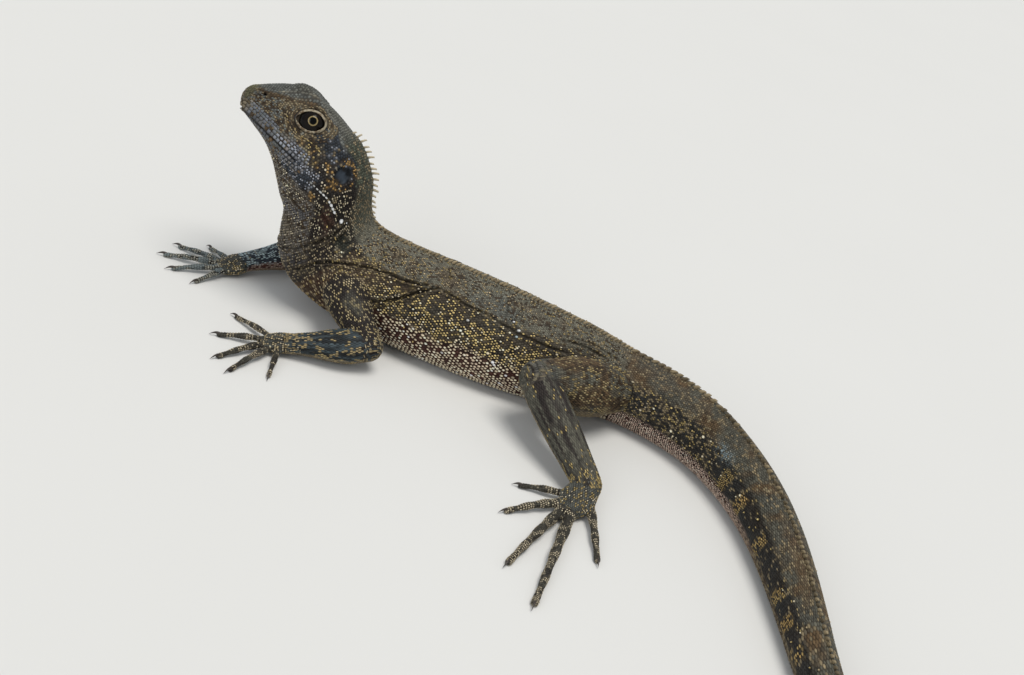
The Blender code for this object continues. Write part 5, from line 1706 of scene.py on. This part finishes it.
def coat_pieces(bed, body):
    """The pieces of the coat as (name, slot, rows)."""
    legs = np.isin(bed.region, [limb.name for limb in LIMBS])
    part = np.searchsorted((HEAD_END, NECK_END, body.vent, body.vent + ROOT_RUN), bed.at, side="right")
    part = np.where(legs, -1, np.where(np.isin(bed.region, ("lips", "ear", "orbit")), 0, part))
    back = bed.share < 0.3
    pieces = [("head_scales", "head_skin", part == 0), ("neck_scales", "body_skin", part == 1),
              ("trunk_back_scales", "body_skin", (part == 2) & back),
              ("trunk_side_scales", "body_skin", (part == 2) & ~back),
              ("tail_root_scales", "tail_skin", part == 3), ("tail_scales", "tail_skin", part == 4)]
    return pieces + [(limb.name + "_scales", "limb_skin", bed.region == limb.name) for limb in LIMBS]


class DRAGON_OT_scales(bpy.types.Operator):
    """Lays the scales of the whole body in rows over the skin and paints skin and scales alike"""
    bl_idname = "dragon.scales"
    bl_label = "Lay Scales"

    def execute(self, context):
        skin = bpy.data.objects["skin"]
        surface, body, random = Surface(skin), Body(192), random_draws("scales")
        rows = joined_beds([strip_bed(surface, body, strip, random) for strip in body_strips(body)])
        shields = joined_beds([lip_beds(surface), round_beds(surface, random)])
        shields = shields._replace(unwrap=rows.unwrap[nearest_rows(rows.place, shields.place)])
        beds = [feature_beds(surface, body, random), shields, tubercle_bed(surface, body, random), rows]
        beds += [limb_bed(surface, limb, random) for limb in LIMBS]
        bed = drop_covered(joined_beds(beds), surface)
        bed = drop_covered(fill_bare(surface, bed, *thinned(bed), random), surface)
        looks = coloured(bed, body, random)
        colour_skin(skin, bed, looks.ground)
        for name, slot, rows in coat_pieces(bed, body):
            if not rows.any():
                raise RuntimeError(f"{name} found no place on the skin")
            piece = scale_mesh(name, chosen(bed, rows), Looks(*(column[rows] for column in looks)))
            dress(piece, hide_material("scale_horn", 0.22, 0.25, 0.26), slot)
        return {"FINISHED"}


def crest_line(body):
    """Points every half millimetre along the back, with their lengths and the ways ahead and up."""
    first = np.interp(CREST_START, [s.back[0] for s in HEAD_STATIONS], body.knots[:NAPE])
    last = body.vent + 0.80 * (body.end - body.vent)
    at = np.arange(first, last, 0.5)
    rings = body.rings(at)
    line = rings[:, 0]
    ahead = unit(np.gradient(line, axis=0))
    up = line - rings.mean(axis=1)
    up = unit(up - ahead * np.sum(up * ahead, axis=1, keepdims=True))
    return at, line, ahead, up


def crest_heights(body, at, length):
    """Height of a crest spine, the distance to the next and the length of its foot, in millimetres."""
    sizes = form()
    nape, back, tail = (s / MM for s in (sizes.nape_spines, sizes.back_spines, sizes.tail_spines))
    if length < NAPE_RUN:
        arch = math.sin(math.pi * min(1.0, length / NAPE_RUN * 0.9 + 0.1))
        return nape * (0.45 + 0.55 * arch), 2.1, 1.2
    if at < body.vent:
        return back, 1.7, 1.7
    fade = (at - body.vent) / (body.end - body.vent) / 0.8
    grown = min(1.0, (at - body.vent) / 30)
    return (back + (tail - back) * grown) * (1 - 0.6 * fade), 2.9 - 1.1 * fade, 2.9 - 1.3 * fade


SPINE_SUNK = 0.9


def spine_shape():
    """Points, triangles and tint of one crest spine: a six-sided spike in three lengths, bent back."""
    bm = bmesh.new()
    bmesh.ops.create_cone(bm, cap_ends=True, segments=6, radius1=0.5, radius2=0.32, depth=1.0)
    bmesh.ops.translate(bm, vec=(0, 0, 0.5), verts=bm.verts)
    for height in (0.4, 0.75):
        bmesh.ops.bisect_plane(bm, geom=bm.verts[:] + bm.edges[:] + bm.faces[:], plane_co=(0, 0, height),
                               plane_no=(0, 0, 1))
    for v in bm.verts:
        v.co.x += 0.55 * v.co.z ** 2
    points, faces = triangle_arrays(bm)
    return points, faces, np.clip(points[:, 2], 0, 1)


def build_crest():
    """Every crest spine of the nape, back and tail as one joined mesh."""
    body, random = Body(96), random_draws("crest")
    at, line, ahead, up = crest_line(body)
    length = run_along(line)
    points, faces, tint = spine_shape()
    vertices, triangles, colours, patches, where = [], [], [], [], 0.4
    while where < length[-1] - 1:
        place = np.interp(where, length, at)
        height, step, long = crest_heights(body, place, where)
        vary = 1 + random.normal(0, 0.10)
        foot, way, rise = (read_along(where, length, curve)[0] for curve in (line, ahead, up))
        side = unit(np.cross(rise, way))
        tall = where < NAPE_RUN
        rise = unit(rise + side * random.normal(0, 0.16 if tall else 0.04))
        wide = 1.25 if tall else 1.1
        height *= vary * (1 + (random.random() - 0.5) * 0.7 * tall)
        shape = (foot + rise * (points[:, 2:] * (height + SPINE_SUNK) - SPINE_SUNK)
                 + way * (points[:, :1] * long) + side * (points[:, 1:2] * wide))
        pale = hue.cream * 0.55 if tall else hue.tan * (0.7 + 0.8 * random.random())
        root = hue.moss * 0.7 if place < 90 else hue.umber * 0.8
        if place > body.vent:
            pale = hue.tan * (0.4 + 0.9 * random.random())
        triangles.append(faces + len(points) * len(vertices))
        vertices.append(shape)
        colours.append(root + (pale - root) * ramp(0.15, 0.5, tint)[:, None])
        patches.append(np.array([where / length[-1], 0.5]) * 0.98 + 0.01 + points[:, :2] * 0.003)
        where += step * vary
    return vertices, triangles, colours, patches


class DRAGON_OT_crest(bpy.types.Operator):
    """Sets the spines of the nape, back and tail along the back line"""
    bl_idname = "dragon.crest"
    bl_label = "Set Crest"

    def execute(self, context):
        piece = mesh_from_arrays("crest", *build_crest())
        dress(piece, hide_material("spine_horn", 0.15, 0.15, 0.3), "body_skin")
        return {"FINISHED"}


def lid_rings(centre, axis, ahead, up):
    """Rings of the lids: one broad band that hugs the ball, with a point at its front corner."""
    rings = []
    wide, thick = LID_BAND
    for turn in np.linspace(0, 2 * math.pi, 120, endpoint=False):
        c, s = math.cos(turn), math.sin(turn)
        sharp = 1 + 0.17 * max(0.0, c) ** 6 + 0.04 * max(0.0, -c) ** 8
        flat = np.array((c * (LID_SPAN[0] + 0.33) * sharp, s * (LID_SPAN[1] + 0.22)))
        hug = math.sqrt(max(0.0, (EYE_RADIUS + 0.1) ** 2 - min(np.hypot(*flat), EYE_RADIUS) ** 2))
        spoke = unit(ahead * flat[0] + up * flat[1])
        middle = centre + ahead * flat[0] + up * flat[1] + axis * (0.35 * hug + 0.65 * (LID_RISE + 0.2))
        rings.append([middle + spoke * math.cos(a) * wide
                      + axis * (math.sin(a) * thick - 0.6 * math.cos(a) * wide)
                      for a in np.linspace(0, 2 * math.pi, 20, endpoint=False)])
    return rings


class DRAGON_OT_lids(bpy.types.Operator):
    """Makes the broad pale granular lids round each eye"""
    bl_idname = "dragon.lids"
    bl_label = "Make Lids"

    def execute(self, context):
        for side, name in ((-1, "left_lids"), (1, "right_lids")):
            eye = eye_frame(side)
            lids = join_shapes([tube(lid_rings(*eye), closed=True)], name)
            points, normals = points_of(lids)
            points += normals * 0.34 * (value_noise(points, 0.55, 9) - 0.5)[:, None]
            put_points(lids, points)
            local = points - eye[0]
            way = oval_way(local, *eye[2:], LID_SPAN)
            colour = blend(hue.umber, hue.cream * 0.36, ramp(0.2, 0.7, value_noise(points, 0.6, 12)))
            # Near-black at the inner edge next to the ball; darker at the outer edge, painted shade in the
            # groove round the lids.
            colour = blend(colour, hue.ground, 1 - ramp(0.90, 0.98, way))
            store_colour(lids.data, blend(colour, hue.ground * 2, ramp(1.12, 1.20, way)))
            lids.data.shade_smooth()
            dress(lids, hide_material("lid_hide", 0.35, 0.6, 0.4), "head_skin")
        return {"FINISHED"}


def eye_material():
    """Pupil, thin pale ring and streaked brown iris, read from the eye's own map, under a wet coat."""
    made, tree, shader = new_material("eye_wet", {"Roughness": 0.16, "Specular IOR Level": 0.06,
                                                  "Coat Weight": 0.12, "Coat Roughness": 0.03})
    way = add(tree, "ShaderNodeUVMap", uv_map="gaze")
    ring = add(tree, "ShaderNodeVectorMath", operation="LENGTH")
    streaks = add(tree, "ShaderNodeTexNoise", {"Scale": 9.0, "Detail": 4.0})
    wander = add(tree, "ShaderNodeMath", {1: 0.05}, operation="MULTIPLY_ADD")
    shades = add(tree, "ShaderNodeValToRGB")
    pupil = (0.001, 0.001, 0.001)
    set_stops(shades, (0.0, pupil), (0.215, pupil), (0.25, hue.iris_ring * 0.5), (0.285, hue.iris_ring),
              (0.325, hue.iris), (0.52, hue.iris * 1.2), (0.64, (0.003, 0.002, 0.002)),
              (1.0, (0.006, 0.005, 0.004)))
    wire(tree, (way, "UV", ring, 0), (way, "UV", streaks, "Vector"), (streaks, "Fac", wander, 0),
         (ring, "Value", wander, 2), (wander, 0, shades, "Fac"), (shades, "Color", shader, "Base Color"))
    return made


def eyeball(side):
    """A ball with a raised cornea that looks out of its socket, with a map that spreads from its pupil."""
    centre, axis, ahead, up = eye_frame(side, GAZE)
    bm = bmesh.new()
    bmesh.ops.create_uvsphere(bm, u_segments=64, v_segments=48, radius=1.0)
    gaze = bm.loops.layers.uv.new("gaze")
    for face in bm.faces:
        for loop in face.loops:
            co = loop.vert.co
            turn = math.acos(max(-1.0, min(1.0, co.z))) / 1.15
            flat = math.hypot(co.x, co.y) or 1.0
            loop[gaze].uv = (co.x / flat * turn, co.y / flat * turn)
    for v in bm.verts:
        bulge = 1 + 0.06 * math.exp(-(math.acos(max(-1.0, min(1.0, v.co.z))) / 0.55) ** 4)
        local = v.co * EYE_RADIUS * bulge
        v.co = Vector(centre + ahead * local.x + up * local.y + axis * local.z)
    bmesh.ops.scale(bm, vec=(MM, MM, MM), verts=bm.verts)
    face_outwards(bm)
    return bm


class DRAGON_OT_eyes(bpy.types.Operator):
    """Sets a wet eyeball with a raised cornea in each socket"""
    bl_idname = "dragon.eyes"
    bl_label = "Set Eyes"

    def execute(self, context):
        material = eye_material()
        for side, name in ((-1, "left_eye"), (1, "right_eye")):
            piece = show(name + "_wet", mesh_of(eyeball(side), name + "_wet"))
            piece.data.shade_smooth()
            dress(piece, material, "eye", name)
        return {"FINISHED"}


def claw_rings(digit):
    """Rings of one claw: it leaves the toe's tip, arches and comes down to a point on the floor."""
    centres, _ = digit_line(digit, 12)
    heading = unit(centres[-1] - centres[0])
    heading[2] = 0
    heading = unit(heading)
    rings = []
    for share in np.linspace(0, 1, 12):
        radius = max(0.06, 0.82 * (1 - share) ** 0.8)
        centre = centres[-1] + heading * ((digit.claw + 1.2) * share - 0.9)
        arch = 0.75 * math.sin(math.pi * min(1.0, share * 1.05))
        centre[2] = max(digit.radius * 0.62 + arch - 0.45 * share ** 2, radius)
        rings.append(oval(centre, heading, radius * 0.72, radius, 12))
    return rings


def horn_material():
    """Dark horn of the claws, mottled paler and darker by fine noise."""
    made, tree, shader = new_material("claw_horn", {})
    place = add(tree, "ShaderNodeTexCoord")
    noise = add(tree, "ShaderNodeTexNoise", {"Scale": 900.0, "Detail": 4.0})
    shades = add(tree, "ShaderNodeValToRGB")
    set_stops(shades, (0.0, hue.claw * 0.6), (1.0, hue.claw * 2.6))
    rough = add(tree, "ShaderNodeMapRange", {"To Min": 0.22, "To Max": 0.45})
    raised = add(tree, "ShaderNodeBump", {"Strength": 0.2, "Distance": 0.05 * MM})
    wire(tree, (place, "Object", noise, "Vector"), (noise, "Fac", shades, "Fac"),
         (noise, "Fac", rough, "Value"), (noise, "Fac", raised, "Height"),
         (shades, "Color", shader, "Base Color"), (rough, "Result", shader, "Roughness"),
         (raised, "Normal", shader, "Normal"))
    return made


class DRAGON_OT_claws(bpy.types.Operator):
    """Sets the curved claws at the tips of fingers and toes"""
    bl_idname = "dragon.claws"
    bl_label = "Set Claws"

    def execute(self, context):
        material = horn_material()
        for limb in LIMBS:
            piece = join_shapes([tube(claw_rings(digit)) for digit in limb.digits], limb.name + "_claws")
            piece.data.shade_smooth()
            dress(piece, material, "limb_skin")
        return {"FINISHED"}


def floor_material():
    """Pale matt floor with a faint mottle."""
    made, tree, shader = new_material("pale_floor", {"Roughness": 0.85})
    colour = np.array(bpy.context.scene.dragon_stage.floor)
    place = add(tree, "ShaderNodeTexCoord")
    noise = add(tree, "ShaderNodeTexNoise", {"Scale": 6.0, "Detail": 5.0})
    shades = add(tree, "ShaderNodeValToRGB")
    set_stops(shades, (0.0, colour * 0.985), (1.0, np.minimum(colour * 1.015, 1.0)))
    wire(tree, (place, "Object", noise, "Vector"), (noise, "Fac", shades, "Fac"),
         (shades, "Color", shader, "Base Color"))
    return made


def broad_light(name, way, power, spread, colour):
    """A distant light that comes from one way, as wide as its spread."""
    light = bpy.data.lights.new(name, "SUN")
    light.energy = power
    light.angle = spread
    light.color = colour
    show(name, light).matrix_world = Vector(way).to_track_quat("Z", "Y").to_matrix().to_4x4()


def place_camera(stage):
    """The camera at the photo's angle: pitched down, rolled, and aimed at the target."""
    back = Vector((0, -math.cos(stage.elevation), math.sin(stage.elevation)))
    level = Vector((1, 0, 0))
    above = back.cross(level)
    right = level * math.cos(stage.roll) + above * math.sin(stage.roll)
    up = above * math.cos(stage.roll) - level * math.sin(stage.roll)
    data = bpy.data.cameras.new("camera")
    data.lens = stage.lens
    data.sensor_width = 36.0
    data.clip_start = 0.01
    camera = show("camera", data)
    place = Vector(stage.target) + back * stage.distance
    camera.matrix_world = Matrix.Translation(place) @ Matrix((right, up, back)).transposed().to_4x4()
    bpy.context.scene.camera = camera


class DRAGON_OT_stage(bpy.types.Operator):
    """Lays the pale floor and sets the soft lights and the camera"""
    bl_idname = "dragon.stage"
    bl_label = "Set Stage"

    def execute(self, context):
        stage = context.scene.dragon_stage
        bm = bmesh.new()
        bmesh.ops.create_circle(bm, cap_ends=True, segments=128, radius=stage.floor_radius)
        floor = show("floor", mesh_of(bm, "floor"))
        floor.data.materials.append(floor_material())
        world = bpy.data.worlds.new("sky")
        world.use_nodes = True
        set_inputs(world.node_tree.nodes["Background"], {"Color": (0.90, 0.95, 1.0, 1.0),
                                                         "Strength": stage.sky})
        context.scene.world = world
        broad_light("key", (0.15, -0.10, 1.0), stage.key_power, stage.key_spread, (1.0, 0.97, 0.92))
        broad_light("fill", (-0.5, -1.0, 0.5), stage.fill_power, stage.key_spread, (0.95, 0.97, 1.0))
        place_camera(stage)
        context.scene.view_settings.view_transform = "Standard"
        return {"FINISHED"}


OPERATORS = (DRAGON_OT_skin, DRAGON_OT_scales, DRAGON_OT_crest, DRAGON_OT_lids, DRAGON_OT_eyes,
             DRAGON_OT_claws, DRAGON_OT_stage)
GROUPS = {"dragon_form": DragonForm, "dragon_scales": DragonScales, "dragon_colours": DragonColours,
          "dragon_stage": DragonStage}


class DRAGON_PT_panel(bpy.types.Panel):
    """Lists the water dragon's pieces and their settings"""
    bl_idname = "DRAGON_PT_panel"
    bl_label = "Water Dragon"
    bl_space_type = "VIEW_3D"
    bl_region_type = "UI"
    bl_category = "Water Dragon"

    def draw(self, context):
        layout = self.layout
        for name in GROUPS:
            box = layout.box()
            settings = getattr(context.scene, name)
            for key in settings.bl_rna.properties.keys():
                if key not in ("rna_type", "name"):
                    box.prop(settings, key)
        for operator in OPERATORS:
            layout.operator(operator.bl_idname)


def register():
    for group in (*GROUPS.values(), *OPERATORS, DRAGON_PT_panel):
        bpy.utils.register_class(group)
    for name, group in GROUPS.items():
        setattr(bpy.types.Scene, name, PointerProperty(type=group))


def unregister():
    for name in GROUPS:
        delattr(bpy.types.Scene, name)
    for group in (DRAGON_PT_panel, *OPERATORS, *GROUPS.values()):
        bpy.utils.unregister_class(group)


def main():
    register()
    bpy.ops.dragon.skin()
    bpy.ops.dragon.scales()
    bpy.ops.dragon.crest()
    bpy.ops.dragon.lids()
    bpy.ops.dragon.eyes()
    bpy.ops.dragon.claws()
    bpy.ops.dragon.stage()


if __name__ == "__main__":
    main()
